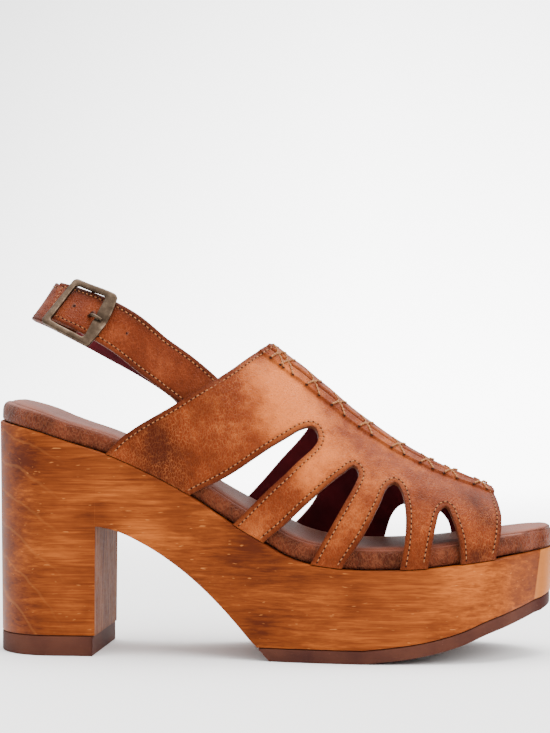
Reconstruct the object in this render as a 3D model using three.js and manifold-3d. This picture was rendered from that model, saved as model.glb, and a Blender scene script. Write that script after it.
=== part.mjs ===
// A platform sandal for the right foot: a wooden platform with its block heel in one piece, a rubber
// heel lift and sole, a padded footbed, a cut-out leather upper with a raised centre seam, and a
// buckled strap round the heel.
// Millimetres. X runs from the back of the heel to the toe, Y from the outer to the inner side, Z up.
import * as THREE from "three";
import { mergeVertices } from "three/addons/utils/BufferGeometryUtils.js";
import Module from "manifold-3d";

const wasm = await Module();
wasm.setup();

// Sizes of the platform
const shoeLength = 240;
const ballWidth = 85;
const heelWidth = 57;
const heelArcLength = 27;
const heelHeight = 99.3;
const platformHeight = 38.1;
const toeRise = 8.2;
const toeSpring = 22;
const woodEdgeRound = 0.8;

// Sizes of the treads and of the arch between them
const liftThickness = 8.3;
const soleThickness = 5.3;
const heelTreadLength = 46.2;
const breastLean = 1.9;
const breastHeight = 54.4;
const archEnd = 115.6;
const soleRearSlant = 4.8;

// Sizes of the footbed
const footbedThickness = 8.6;
const footbedRound = 3;
const crownReach = 2.5;
const footbedReveal = 1;
const footbedCrown = 0.5;

// Sizes of the upper
const upperWall = 2.2;
const upperInset = 0.4;
const vampHeight = 83.7;
const crestShift = 5;
const seamHalfWidth = 5;
const seamRaise = 1;
const seamGrooveHalf = 0.6;
const seamGrooveDepth = 0.6;
const seamStepWidth = 0.8;

// Sizes of the strap and its buckle
const strapWidth = 19.2;
const strapThickness = 2.4;
const strapTuck = 13;
const strapEase = 3;
const loopReach = 68;
const loopRise = 38.5;
const loopWidth = 51;
const buckleLength = 22.5;
const frontBarWidth = 4;
const frontBarBow = 1.4;
const sideBarWidth = 2.7;
const buckleThickness = 1.8;
const buckleRound = 2;
const bucklePlace = 0.363;
const centreBarRadius = 1;
const centreBarDrop = 0.6;
const prongRadius = 0.8;
const billetOverhang = 6;
const billetSlant = 5.5;
const holePitch = 8.4;
const holeLength = 5.6;
const holeWidth = 3;
const strapReturn = 17;
const foldShare = 0.8;
const eyeWallShare = 0.5;
const postShare = 0.8;
const innerRoundShare = 0.75;
const notchReach = 1.4;
const frameSideSteps = 5;
const frameFrontSteps = 6;
const eyeSweep = 0.75;
const prongBend = 0.3;
const prongRise = 0.2;

// Clearances
const seatGap = 0.3;
const slideGap = 0.6;

const halfPi = Math.PI / 2;
const up = new THREE.Vector3(0, 0, 1);
const outerSide = -1;
const innerSide = 1;

// Half widths of the plan outline past the round heel, as shares of half the heel and ball widths.
const outlineRows = {
  [outerSide]: [
    { along: 0.208, heel: 1, ball: 0 },
    { along: 0.354, heel: 0.7, ball: 0.26 },
    { along: 0.5, heel: 0.3, ball: 0.67 },
    { along: 0.625, heel: 0, ball: 0.976 },
    { along: 0.717, heel: 0, ball: 1 },
    { along: 0.813, heel: 0, ball: 0.93 },
    { along: 0.896, heel: 0, ball: 0.755 },
    { along: 0.9375, heel: 0, ball: 0.57 },
    { along: 0.971, heel: 0, ball: 0.376 },
  ],
  [innerSide]: [
    { along: 0.188, heel: 0.975, ball: 0 },
    { along: 0.292, heel: 0.8, ball: 0.075 },
    { along: 0.396, heel: 0.55, ball: 0.255 },
    { along: 0.5, heel: 0.3, ball: 0.54 },
    { along: 0.625, heel: 0, ball: 0.906 },
    { along: 0.729, heel: 0, ball: 0.97 },
    { along: 0.813, heel: 0, ball: 0.937 },
    { along: 0.896, heel: 0, ball: 0.8 },
    { along: 0.954, heel: 0, ball: 0.61 },
    { along: 0.9875, heel: 0, ball: 0.376 },
  ],
};
const toeTipShare = 0.07;
const toeBend = { [outerSide]: 0.1, [innerSide]: 0.45 };

// Side slope of the wood: how far its wall runs in for each millimetre below the top edge.
const draftRows = [
  { along: 0, slope: 0.013 },
  { along: 0.2, slope: 0.01 },
  { along: 0.85, slope: 0.015 },
  { along: 0.96, slope: 0.07 },
  { along: 1, slope: 0.1 },
];

// Wood top: shares of the drop from heel to platform, and of the rise at the toe.
const topRows = [
  { along: 0, heel: 1, toe: 0 },
  { along: 0.092, heel: 0.918, toe: 0 },
  { along: 0.146, heel: 0.848, toe: 0 },
  { along: 0.208, heel: 0.771, toe: 0 },
  { along: 0.296, heel: 0.622, toe: 0 },
  { along: 0.358, heel: 0.495, toe: 0 },
  { along: 0.433, heel: 0.307, toe: 0 },
  { along: 0.496, heel: 0.167, toe: 0 },
  { along: 0.538, heel: 0.077, toe: 0 },
  { along: 0.583, heel: 0.03, toe: 0 },
  { along: 0.671, heel: 0, toe: 0 },
  { along: 0.767, heel: 0, toe: 0.09 },
  { along: 0.833, heel: 0, toe: 0.29 },
  { along: 0.892, heel: 0, toe: 0.51 },
  { along: 0.933, heel: 0, toe: 0.71 },
  { along: 1, heel: 0, toe: 1 },
];

// Underside of the toe: shares of the toe spring.
const springRows = [
  { along: 0.665, rise: 0 },
  { along: 0.735, rise: 0.09 },
  { along: 0.783, rise: 0.185 },
  { along: 0.833, rise: 0.335 },
  { along: 0.881, rise: 0.545 },
  { along: 0.931, rise: 0.72 },
  { along: 1, rise: 1 },
];

// Arch from the top of the heel breast to the rear of the sole: shares of its span and height.
const archRows = [
  { span: 0, rise: 1 },
  { span: 0.073, rise: 0.98 },
  { span: 0.147, rise: 0.947 },
  { span: 0.262, rise: 0.872 },
  { span: 0.357, rise: 0.799 },
  { span: 0.453, rise: 0.712 },
  { span: 0.548, rise: 0.615 },
  { span: 0.635, rise: 0.515 },
  { span: 0.722, rise: 0.404 },
  { span: 0.802, rise: 0.293 },
  { span: 0.88, rise: 0.176 },
  { span: 0.959, rise: 0.054 },
  { span: 1, rise: 0 },
];

// Where the footbed draws in under the upper: 0 along the open edge, 1 inside the upper.
const footbedRows = [
  { along: 0.12, inside: 0 },
  { along: 0.19, inside: 1 },
  { along: 0.905, inside: 1 },
  { along: 0.95, inside: 0 },
];

// Sections of the last: crest height as a share of the vamp height, and how full the section is.
const lastRows = [
  { along: 0.167, crest: 1.156, across: 0.9, rise: 1 },
  { along: 0.333, crest: 1.045, across: 0.95, rise: 1 },
  { along: 0.5, crest: 1, across: 1.2, rise: 1 },
  { along: 0.54, crest: 0.975, across: 1.22, rise: 1 },
  { along: 0.588, crest: 0.897, across: 1.25, rise: 1 },
  { along: 0.64, crest: 0.786, across: 1.24, rise: 1 },
  { along: 0.68, crest: 0.705, across: 1.18, rise: 0.99 },
  { along: 0.715, crest: 0.633, across: 1.1, rise: 0.98 },
  { along: 0.756, crest: 0.558, across: 0.98, rise: 0.97 },
  { along: 0.807, crest: 0.47, across: 0.88, rise: 0.955 },
  { along: 0.852, crest: 0.396, across: 0.82, rise: 0.94 },
  { along: 0.879, crest: 0.347, across: 0.79, rise: 0.93 },
  { along: 0.92, crest: 0.277, across: 0.77, rise: 0.92 },
];

// Edges of the upper from its base (around 0) to its crest (around 1), the same on both sides.
const rearEdgeRows = [
  { around: 0, along: 0.2125 },
  { around: 0.06, along: 0.2376 },
  { around: 0.12, along: 0.267 },
  { around: 0.19, along: 0.303 },
  { around: 0.26, along: 0.336 },
  { around: 0.35, along: 0.3722 },
  { around: 0.45, along: 0.4066 },
  { around: 0.57, along: 0.44 },
  { around: 0.72, along: 0.471 },
  { around: 0.8, along: 0.4835 },
  { around: 1, along: 0.499 },
];
const toeEdgeRows = [
  { around: 0, along: 0.891 },
  { around: 0.04, along: 0.894 },
  { around: 0.17, along: 0.899 },
  { around: 0.32, along: 0.902 },
  { around: 0.43, along: 0.9025 },
  { around: 0.54, along: 0.9 },
  { around: 0.67, along: 0.896 },
  { around: 0.8, along: 0.891 },
  { around: 1, along: 0.883 },
];

// Centre seam: its place round the outer side, drawing towards the crest at the toe.
const seamRows = [
  { along: 0.48, around: 0.81 },
  { along: 0.7, around: 0.79 },
  { along: 0.82, around: 0.81 },
  { along: 0.9, around: 0.88 },
];

// Cut-outs of each side from heel to toe: the rear and front edge at heights round the side, and the
// round tip.
const cutOuts = {
  [outerSide]: [
    {
      tip: { along: 0.578, around: 0.528 },
      rows: [
        { around: 0, rear: 0.362, front: 0.4396 },
        { around: 0.15, rear: 0.4333, front: 0.492 },
        { around: 0.3, rear: 0.494, front: 0.541 },
        { around: 0.42, rear: 0.5365, front: 0.576 },
        { around: 0.49, rear: 0.5605, front: 0.5865 },
      ],
    },
    {
      tip: { along: 0.6495, around: 0.46 },
      rows: [
        { around: 0, rear: 0.493, front: 0.5755 },
        { around: 0.15, rear: 0.549, front: 0.611 },
        { around: 0.3, rear: 0.602, front: 0.6405 },
        { around: 0.4, rear: 0.632, front: 0.6555 },
        { around: 0.44, rear: 0.642, front: 0.6565 },
      ],
    },
    {
      tip: { along: 0.7215, around: 0.473 },
      rows: [
        { around: 0, rear: 0.629, front: 0.729 },
        { around: 0.15, rear: 0.6667, front: 0.7375 },
        { around: 0.3, rear: 0.692, front: 0.739 },
        { around: 0.4, rear: 0.7035, front: 0.7345 },
        { around: 0.445, rear: 0.7115, front: 0.7295 },
      ],
    },
    {
      tip: { along: 0.8075, around: 0.42 },
      rows: [
        { around: 0, rear: 0.776, front: 0.833 },
        { around: 0.15, rear: 0.784, front: 0.831 },
        { around: 0.27, rear: 0.7905, front: 0.824 },
        { around: 0.35, rear: 0.7955, front: 0.8175 },
        { around: 0.395, rear: 0.801, front: 0.8135 },
      ],
    },
  ],
  [innerSide]: [
    {
      tip: { along: 0.549, around: 0.528 },
      rows: [
        { around: 0, rear: 0.326, front: 0.418 },
        { around: 0.15, rear: 0.398, front: 0.468 },
        { around: 0.3, rear: 0.458, front: 0.512 },
        { around: 0.42, rear: 0.502, front: 0.5435 },
        { around: 0.49, rear: 0.529, front: 0.556 },
      ],
    },
    {
      tip: { along: 0.598, around: 0.42 },
      rows: [
        { around: 0, rear: 0.447, front: 0.502 },
        { around: 0.15, rear: 0.503, front: 0.555 },
        { around: 0.27, rear: 0.543, front: 0.58 },
        { around: 0.35, rear: 0.567, front: 0.5925 },
        { around: 0.395, rear: 0.5815, front: 0.599 },
      ],
    },
    {
      tip: { along: 0.672, around: 0.4 },
      rows: [
        { around: 0, rear: 0.572, front: 0.607 },
        { around: 0.15, rear: 0.618, front: 0.65 },
        { around: 0.26, rear: 0.64, front: 0.668 },
        { around: 0.33, rear: 0.65, front: 0.675 },
        { around: 0.375, rear: 0.655, front: 0.6765 },
      ],
    },
    {
      tip: { along: 0.734, around: 0.3 },
      rows: [
        { around: 0, rear: 0.683, front: 0.737 },
        { around: 0.1, rear: 0.6935, front: 0.742 },
        { around: 0.2, rear: 0.7045, front: 0.744 },
        { around: 0.27, rear: 0.719, front: 0.7415 },
      ],
    },
    {
      tip: { along: 0.794, around: 0.305 },
      rows: [
        { around: 0, rear: 0.765, front: 0.818 },
        { around: 0.1, rear: 0.77, front: 0.819 },
        { around: 0.2, rear: 0.777, front: 0.8152 },
        { around: 0.27, rear: 0.784, front: 0.8055 },
      ],
    },
  ],
};
const cutBelowBase = 0.12;
const cutReach = 9;

// Strap loop from the outer exit round the heel to the inner exit: shares of its reach, half width
// and rise, and how far it leans in towards the leg.
const loopRows = [
  { back: 0.15, across: -0.805, rise: 0.221, lean: 8 },
  { back: 0.367, across: -0.948, rise: 0.494, lean: 11 },
  { back: 0.59, across: -0.895, rise: 0.721, lean: 22 },
  { back: 0.795, across: -0.78, rise: 0.861, lean: 36 },
  { back: 0.977, across: -0.57, rise: 0.996, lean: 41 },
  { back: 1.014, across: -0.104, rise: 1.011, lean: 25 },
  { back: 0.965, across: 0.387, rise: 0.951, lean: 22 },
  { back: 0.833, across: 0.767, rise: 0.812, lean: 21 },
  { back: 0.628, across: 0.934, rise: 0.6, lean: 20 },
  { back: 0.383, across: 0.894, rise: 0.346, lean: 20 },
  { back: 0.163, across: 0.715, rise: 0.073, lean: 17 },
];
const exitAround = { [outerSide]: 0.366, [innerSide]: 0.3 };
const tuckSlope = { [outerSide]: 0.78, [innerSide]: 0.6 };

// Height of the billet over the strap below it: millimetres along from the centre bar in shares of
// the buckle length, and steps of one strap thickness.
const billetRows = [
  { along: -1.5, step: 0 },
  { along: -0.62, step: 1.14 },
  { along: -0.3, step: 1.24 },
  { along: 0, step: 1.5 },
  { along: 0.25, step: 1.36 },
  { along: 0.6, step: 1.22 },
  { along: 1.2, step: 1.2 },
];

// Steps of the meshes
const heelSteps = 8;
const sideSteps = 22;
const toeSteps = 4;
const readSteps = 160;
const profileSteps = 26;
const upperRows = 26;
const lowerColumns = 8;
const innerColumns = 11;
const tipSteps = 3;
const strapStep = 4;
const roundSteps = 3;
const rodSides = 8;
const cutterHalfWidth = 90;

// Reads one column of a table at a place along its key, with a curve that stays between its rows.
function readTable(rows, key, column, at) {
  const last = rows.length - 1;
  if (at <= rows[0][key]) return rows[0][column];
  if (at >= rows[last][key]) return rows[last][column];
  let row = 0;
  while (rows[row + 1][key] < at) row++;
  const secant = (i) => (rows[i + 1][column] - rows[i][column]) / (rows[i + 1][key] - rows[i][key]);
  const slope = (i) => {
    if (i === 0) return secant(0);
    if (i === last) return secant(last - 1);
    const before = secant(i - 1);
    const after = secant(i);
    return before * after <= 0 ? 0 : (2 * before * after) / (before + after);
  };
  const span = rows[row + 1][key] - rows[row][key];
  const t = (at - rows[row][key]) / span;
  const ease = t * t * (3 - 2 * t);
  const leave = span * slope(row) * t * (1 - t) * (1 - t);
  const arrive = span * slope(row + 1) * t * t * (t - 1);
  return rows[row][column] * (1 - ease) + rows[row + 1][column] * ease + leave + arrive;
}

const signedPower = (value, power) => Math.sign(value) * Math.abs(value) ** power;
const alongShare = (x) => x / shoeLength;

function woodTop(x) {
  const drop = readTable(topRows, "along", "heel", alongShare(x)) * (heelHeight - platformHeight);
  return platformHeight + drop + readTable(topRows, "along", "toe", alongShare(x)) * toeRise;
}

const soleUnder = (x) => readTable(springRows, "along", "rise", alongShare(x)) * toeSpring;

// One side of the plan outline as (x, half width), from the heel back to the toe tip.
function halfOutline(side, steps) {
  const heel = new THREE.EllipseCurve(
    heelArcLength, 0, heelArcLength, heelWidth / 2, Math.PI, halfPi, true,
  );
  const rows = outlineRows[side].map(
    (row) => new THREE.Vector2(
      row.along * shoeLength,
      (row.heel * heelWidth + row.ball * ballWidth) / 2,
    ),
  );
  const flank = new THREE.SplineCurve([new THREE.Vector2(heelArcLength, heelWidth / 2), ...rows]);
  const corner = rows[rows.length - 1];
  const tip = new THREE.Vector2(shoeLength, (side * toeTipShare * ballWidth) / 2);
  const bend = new THREE.Vector2(shoeLength, THREE.MathUtils.lerp(tip.y, corner.y, 1 - toeBend[side]));
  const toe = new THREE.QuadraticBezierCurve(corner, bend, tip);
  return [
    ...heel.getSpacedPoints(steps.heel),
    ...flank.getSpacedPoints(steps.side).slice(1),
    ...toe.getSpacedPoints(steps.toe).slice(1),
  ];
}

const fineSteps = { heel: readSteps / 4, side: readSteps, toe: readSteps / 8 };
const fineOutline = {
  [outerSide]: halfOutline(outerSide, fineSteps),
  [innerSide]: halfOutline(innerSide, fineSteps),
};

// Distance from the shoe's middle line to its outline at x.
function halfWidth(x, side) {
  const points = fineOutline[side];
  let i = 1;
  while (i < points.length - 1 && points[i].x < x) i++;
  const t = THREE.MathUtils.clamp((x - points[i - 1].x) / (points[i].x - points[i - 1].x), 0, 1);
  return THREE.MathUtils.lerp(points[i - 1].y, points[i].y, t);
}

// Stations round the plan outline, anticlockwise from the heel back, each with its inward direction.
const meshSteps = { heel: heelSteps, side: sideSteps, toe: toeSteps };
const stations = (() => {
  const outer = halfOutline(outerSide, meshSteps).map((p) => new THREE.Vector2(p.x, -p.y));
  const inner = halfOutline(innerSide, meshSteps).map((p) => new THREE.Vector2(p.x, p.y));
  const loop = [...outer, ...inner.slice(1, -1).reverse()];
  return loop.map((point, i) => {
    const before = loop[(i + loop.length - 1) % loop.length];
    const after = loop[(i + 1) % loop.length];
    const tangent = after.clone().sub(before).normalize();
    return { point, inward: new THREE.Vector2(-tangent.y, tangent.x) };
  });
})();

function solidFrom(positions, triangles) {
  const geometry = new THREE.BufferGeometry();
  geometry.setAttribute("position", new THREE.Float32BufferAttribute(positions, 3));
  geometry.setIndex(triangles);
  return solidOf(geometry);
}

function solidOf(source) {
  const geometry = source.clone();
  geometry.deleteAttribute("normal");
  geometry.deleteAttribute("uv");
  const merged = mergeVertices(geometry, 1e-4);
  const triVerts = new Uint32Array(merged.index.array);
  const vertProperties = new Float32Array(merged.attributes.position.array);
  const build = () => new wasm.Manifold(new wasm.Mesh({ numProp: 3, vertProperties, triVerts }));
  const solid = build();
  if (solid.volume() > 0) return solid;
  for (let i = 0; i < triVerts.length; i += 3) {
    [triVerts[i + 1], triVerts[i + 2]] = [triVerts[i + 2], triVerts[i + 1]];
  }
  return build();
}

// Closes a stack of equal rings into a solid, with both ends spanned straight across the shoe.
function stackRings(rings) {
  const count = rings[0].length;
  const positions = rings.flat().flatMap((p) => [p.x, p.y, p.z]);
  const triangles = [];
  const quad = (a, b, c, d) => triangles.push(a, b, c, a, c, d);
  for (let k = 0; k < rings.length - 1; k++) {
    for (let i = 0; i < count; i++) {
      const next = (i + 1) % count;
      const low = k * count;
      const high = low + count;
      quad(low + i, low + next, high + next, high + i);
    }
  }
  const cap = (base, flip) => {
    const put = (a, b, c) => (flip ? triangles.push(a, c, b) : triangles.push(a, b, c));
    const tip = count / 2;
    for (let i = 0; i < tip; i++) {
      const near = base + i;
      const nearNext = base + i + 1;
      const far = base + ((count - i) % count);
      const farNext = base + ((count - i - 1) % count);
      if (i > 0) put(near, nearNext, far);
      if (i < tip - 1) put(nearNext, farNext, far);
    }
  };
  cap(0, true);
  cap((rings.length - 1) * count, false);
  return solidFrom(positions, triangles);
}

// A ring round the outline: inset and height are functions of x along the shoe.
function outlineRing(inset, height) {
  return stations.map(({ point, inward }) => {
    const place = point.clone().addScaledVector(inward, inset(point.x));
    return new THREE.Vector3(place.x, place.y, height(place.x));
  });
}

// A side view outline, drawn as points (x, z), carried right across the shoe.
function sideSlab(points) {
  const shape = new THREE.Shape(points.map(([x, z]) => new THREE.Vector2(x, z)));
  const geometry = new THREE.ExtrudeGeometry(shape, {
    depth: 2 * cutterHalfWidth,
    bevelEnabled: false,
  });
  geometry.rotateX(halfPi);
  geometry.translate(0, cutterHalfWidth, 0);
  return solidOf(geometry);
}

const spread = (from, to, steps) =>
  Array.from({ length: steps + 1 }, (_, i) => THREE.MathUtils.lerp(from, to, i / steps));

// The drafted block that the wood, the lift and the sole are cut from.
function platformBlock() {
  const draftAt = (x) => readTable(draftRows, "along", "slope", alongShare(x));
  const low = -soleThickness;
  return stackRings([
    outlineRing((x) => draftAt(x) * (woodTop(x) - low), () => low),
    outlineRing(() => 0, (x) => woodTop(x) - woodEdgeRound),
    outlineRing(() => woodEdgeRound, woodTop),
  ]);
}

const pastToe = shoeLength * 1.05;
const pastHeel = -shoeLength * 0.05;
const soleRear = archEnd + soleRearSlant;
const breastTop = heelTreadLength + breastLean;

function archLine() {
  return archRows.map((row) => [
    THREE.MathUtils.lerp(breastTop, archEnd, row.span),
    THREE.MathUtils.lerp(soleThickness + seatGap, breastHeight, row.rise),
  ]);
}

function woodSolid(block) {
  const soleLine = spread(archEnd, pastToe, profileSteps).slice(1);
  return block.intersect(sideSlab([
    [pastHeel, liftThickness + seatGap],
    [heelTreadLength, liftThickness + seatGap],
    ...archLine(),
    ...soleLine.map((x) => [x, soleUnder(x) + soleThickness + seatGap]),
    [pastToe, heelHeight * 2],
    [pastHeel, heelHeight * 2],
  ]));
}

function soleSolid(block) {
  const line = spread(soleRear, pastToe, profileSteps);
  return block.intersect(sideSlab([
    ...line.map((x) => [x, soleUnder(x)]),
    ...line.reverse().map((x) => [x, soleUnder(x) + soleThickness]),
    [archEnd, soleThickness],
  ]));
}

function liftSolid(block) {
  return block.intersect(sideSlab([
    [pastHeel, 0],
    [heelTreadLength, 0],
    [heelTreadLength, liftThickness],
    [pastHeel, liftThickness],
  ]));
}

// A point of the last's surface at x. Around runs from 0 at the outer base over 1 at the crest to 2
// at the inner base.
function lastPoint(x, around) {
  const side = around <= 1 ? outerSide : innerSide;
  const turn = (around <= 1 ? around : 2 - around) * halfPi;
  const share = alongShare(x);
  const base = woodTop(x) + seatGap;
  const rise = readTable(lastRows, "along", "crest", share) * vampHeight;
  const acrossPower = readTable(lastRows, "along", "across", share);
  const risePower = readTable(lastRows, "along", "rise", share);
  const reach = side * (halfWidth(x, side) - upperInset) - crestShift;
  return new THREE.Vector3(
    x,
    crestShift + reach * signedPower(Math.cos(turn), acrossPower),
    base + rise * signedPower(Math.sin(turn), risePower),
  );
}

function lastNormal(x, around) {
  const stepAlong = 0.5;
  const stepAround = 0.01;
  const along = lastPoint(x + stepAlong, around).sub(lastPoint(x - stepAlong, around));
  const across = lastPoint(x, around + stepAround).sub(lastPoint(x, around - stepAround));
  return across.cross(along).normalize().negate();
}

// A point at a height over the last: 0 is the outside of the upper, minus the wall its inside.
function overLast(x, around, height) {
  const point = lastPoint(x, around).addScaledVector(lastNormal(x, around), height);
  point.z = Math.max(point.z, woodTop(point.x) + seatGap);
  return point;
}

const fromBase = (around) => (around <= 1 ? around : 2 - around);
const rearEdge = (around) => readTable(rearEdgeRows, "around", "along", fromBase(around)) * shoeLength;
const toeEdge = (around) => readTable(toeEdgeRows, "around", "along", fromBase(around)) * shoeLength;
const seamAround = (x) => readTable(seamRows, "along", "around", alongShare(x));

// Millimetres of leather round the last for one unit of around, at the seam.
function roundLength(x) {
  const step = 0.02;
  const at = seamAround(x);
  return lastPoint(x, at - step).distanceTo(lastPoint(x, at + step)) / (2 * step);
}

// Columns of the upper: places round the last, then steps off the seam with the wall raised.
function upperColumns() {
  const seamSteps = [
    { offset: -seamHalfWidth - seamStepWidth, raise: 0 },
    { offset: -seamHalfWidth, raise: seamRaise },
    { offset: -seamGrooveHalf, raise: seamRaise },
    { offset: 0, raise: seamRaise - seamGrooveDepth },
    { offset: seamGrooveHalf, raise: seamRaise },
    { offset: seamHalfWidth, raise: seamRaise },
    { offset: seamHalfWidth + seamStepWidth, raise: 0 },
  ];
  const seamReach = seamHalfWidth + seamStepWidth;
  const below = spread(0, 1, lowerColumns).slice(0, -1);
  const beyond = spread(0, 1, innerColumns).slice(1);
  return [
    ...below.map((t) => (x) => ({
      around: t * (seamAround(x) - seamReach / roundLength(x)), raise: 0,
    })),
    ...seamSteps.map(({ offset, raise }) => (x) => ({
      around: seamAround(x) + offset / roundLength(x), raise,
    })),
    ...beyond.map((t) => (x) => ({
      around: THREE.MathUtils.lerp(seamAround(x) + seamReach / roundLength(x), 2, t), raise: 0,
    })),
  ];
}

// The uncut upper: outer and inner skins over the last, joined round their edges.
function upperShell() {
  const columns = upperColumns();
  const outer = [];
  const inner = [];
  for (let i = 0; i <= upperRows; i++) {
    const share = i / upperRows;
    const seamX = THREE.MathUtils.lerp(rearEdge(seamAround(0)), toeEdge(seamAround(shoeLength)), share);
    columns.forEach((column) => {
      const { around, raise } = column(seamX);
      const x = THREE.MathUtils.lerp(rearEdge(around), toeEdge(around), share);
      outer.push(overLast(x, around, raise));
      inner.push(overLast(x, around, -upperWall));
    });
  }
  const width = columns.length;
  const skin = outer.length;
  const positions = [...outer, ...inner].flatMap((p) => [p.x, p.y, p.z]);
  const triangles = [];
  const quad = (a, b, c, d) => triangles.push(a, b, c, a, c, d);
  const at = (i, j) => i * width + j;
  for (let i = 0; i < upperRows; i++) {
    for (let j = 0; j < width - 1; j++) {
      quad(at(i, j), at(i + 1, j), at(i + 1, j + 1), at(i, j + 1));
      quad(skin + at(i, j), skin + at(i, j + 1), skin + at(i + 1, j + 1), skin + at(i + 1, j));
    }
    const end = width - 1;
    quad(at(i, 0), skin + at(i, 0), skin + at(i + 1, 0), at(i + 1, 0));
    quad(at(i, end), at(i + 1, end), skin + at(i + 1, end), skin + at(i, end));
  }
  for (let j = 0; j < width - 1; j++) {
    quad(at(0, j), at(0, j + 1), skin + at(0, j + 1), skin + at(0, j));
    const toe = upperRows;
    quad(at(toe, j), skin + at(toe, j), skin + at(toe, j + 1), at(toe, j + 1));
  }
  return solidFrom(positions, triangles);
}

// Outline of a cut-out as points (along share, around), open past the base of the upper.
function cutOutline({ tip, rows }) {
  const foot = rows[0];
  const shape = new THREE.Shape();
  shape.moveTo(foot.rear, -cutBelowBase);
  shape.lineTo(foot.rear, foot.around);
  shape.splineThru([
    ...rows.slice(1).map((row) => new THREE.Vector2(row.rear, row.around)),
    new THREE.Vector2(tip.along, tip.around),
    ...rows.slice().reverse().map((row) => new THREE.Vector2(row.front, row.around)),
  ]);
  shape.lineTo(foot.front, -cutBelowBase);
  return shape.getPoints(tipSteps).reverse();
}

// A plug along the last's normals that takes a cut-out through the wall on one side.
function cutPlug(cutOut, side) {
  const outline = cutOutline(cutOut);
  const place = (height) => outline.map((p) => {
    const x = p.x * shoeLength;
    const around = side === outerSide ? p.y : 2 - p.y;
    return lastPoint(x, around).addScaledVector(lastNormal(x, around), height);
  });
  const rings = [place(-upperWall - cutReach), place(cutReach)];
  const count = outline.length;
  const triangles = [];
  for (let i = 0; i < count; i++) {
    const next = (i + 1) % count;
    triangles.push(i, next, count + next, i, count + next, count + i);
  }
  THREE.ShapeUtils.triangulateShape(outline, []).forEach(([a, b, c]) => {
    triangles.push(a, c, b, count + a, count + b, count + c);
  });
  return solidFrom(rings.flat().flatMap((p) => [p.x, p.y, p.z]), triangles);
}

function upperSolid() {
  let solid = upperShell();
  [outerSide, innerSide].forEach((side) => {
    cutOuts[side].forEach((cutOut) => {
      solid = solid.subtract(cutPlug(cutOut, side));
    });
  });
  return solid;
}

// Where the inside of the upper lies at x and z on one side, as the place round the last.
function aroundAt(x, z) {
  const share = alongShare(x);
  const rise = readTable(lastRows, "along", "crest", share) * vampHeight;
  const level = THREE.MathUtils.clamp((z - woodTop(x) - seatGap) / rise, 0, 1);
  return Math.asin(level ** (1 / readTable(lastRows, "along", "rise", share))) / halfPi;
}

function footbedSolid() {
  const underUpper = (x) => {
    const side = outerSide;
    const x0 = THREE.MathUtils.clamp(x, rearEdge(0), toeEdge(0));
    const turn = aroundAt(x0, woodTop(x0) + seatGap + footbedThickness);
    const leanIn = halfWidth(x0, side) - Math.abs(lastPoint(x0, turn).y);
    return leanIn + upperWall + slideGap;
  };
  const inset = (x) => THREE.MathUtils.lerp(
    footbedReveal, underUpper(x), readTable(footbedRows, "along", "inside", alongShare(x)),
  );
  const ring = (extraInset, height) =>
    outlineRing((x) => inset(x) + extraInset, (x) => woodTop(x) + seatGap + height);
  const rounding = spread(0, halfPi, roundSteps).map((turn) => ring(
    footbedRound * (1 - Math.cos(turn)),
    footbedThickness - footbedCrown - footbedRound * (1 - Math.sin(turn)),
  ));
  const crownInset = footbedRound * crownReach;
  return stackRings([ring(woodEdgeRound, 0), ring(0, woodEdgeRound), ...rounding,
    ring(crownInset, footbedThickness)]);
}

// The strap's middle line, from its outer tuck under the upper round the heel to its inner tuck.
function insideUpper(x, z, side) {
  const around = side === outerSide ? aroundAt(x, z) : 2 - aroundAt(x, z);
  const depth = upperWall + strapEase + strapThickness / 2;
  return lastPoint(x, around).addScaledVector(lastNormal(x, around), -depth);
}

function exitPoint(side) {
  const x = rearEdge(exitAround[side]);
  return insideUpper(x, lastPoint(x, exitAround[side]).z, side);
}

const strapLoop = (() => {
  const exits = { [outerSide]: exitPoint(outerSide), [innerSide]: exitPoint(innerSide) };
  const start = exits[outerSide];
  const tucks = (side) => [1, 0.5].map((share) => {
    const x = exits[side].x + strapTuck * share;
    const z = exits[side].z - strapTuck * share * tuckSlope[side];
    return insideUpper(x, z, side);
  });
  const middle = loopRows.map((row) => new THREE.Vector3(
    start.x - row.back * loopReach,
    (row.across * loopWidth) / 2,
    start.z + row.rise * loopRise,
  ));
  const points = [
    ...tucks(outerSide), exits[outerSide], ...middle, exits[innerSide], ...tucks(innerSide).reverse(),
  ];
  const curve = new THREE.CatmullRomCurve3(points, false, "centripetal");
  const tucked = 3;
  const leans = points.map((point, i) => {
    if (i >= tucked && i < points.length - tucked) return loopRows[i - tucked].lean;
    const side = i < tucked ? outerSide : innerSide;
    const [tuck, exit] = side === outerSide ? [points[0], points[tucked - 1]]
      : [points[points.length - tucked], points[points.length - 1]];
    const tangent = exit.clone().sub(tuck).normalize();
    const upright = tangent.clone().cross(up).normalize().cross(tangent);
    const around = aroundAt(point.x, point.z);
    const wall = lastNormal(point.x, side === outerSide ? around : 2 - around);
    return THREE.MathUtils.radToDeg(Math.asin(wall.dot(upright)));
  });
  return { curve, leans, length: curve.getLength() };
})();

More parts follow.
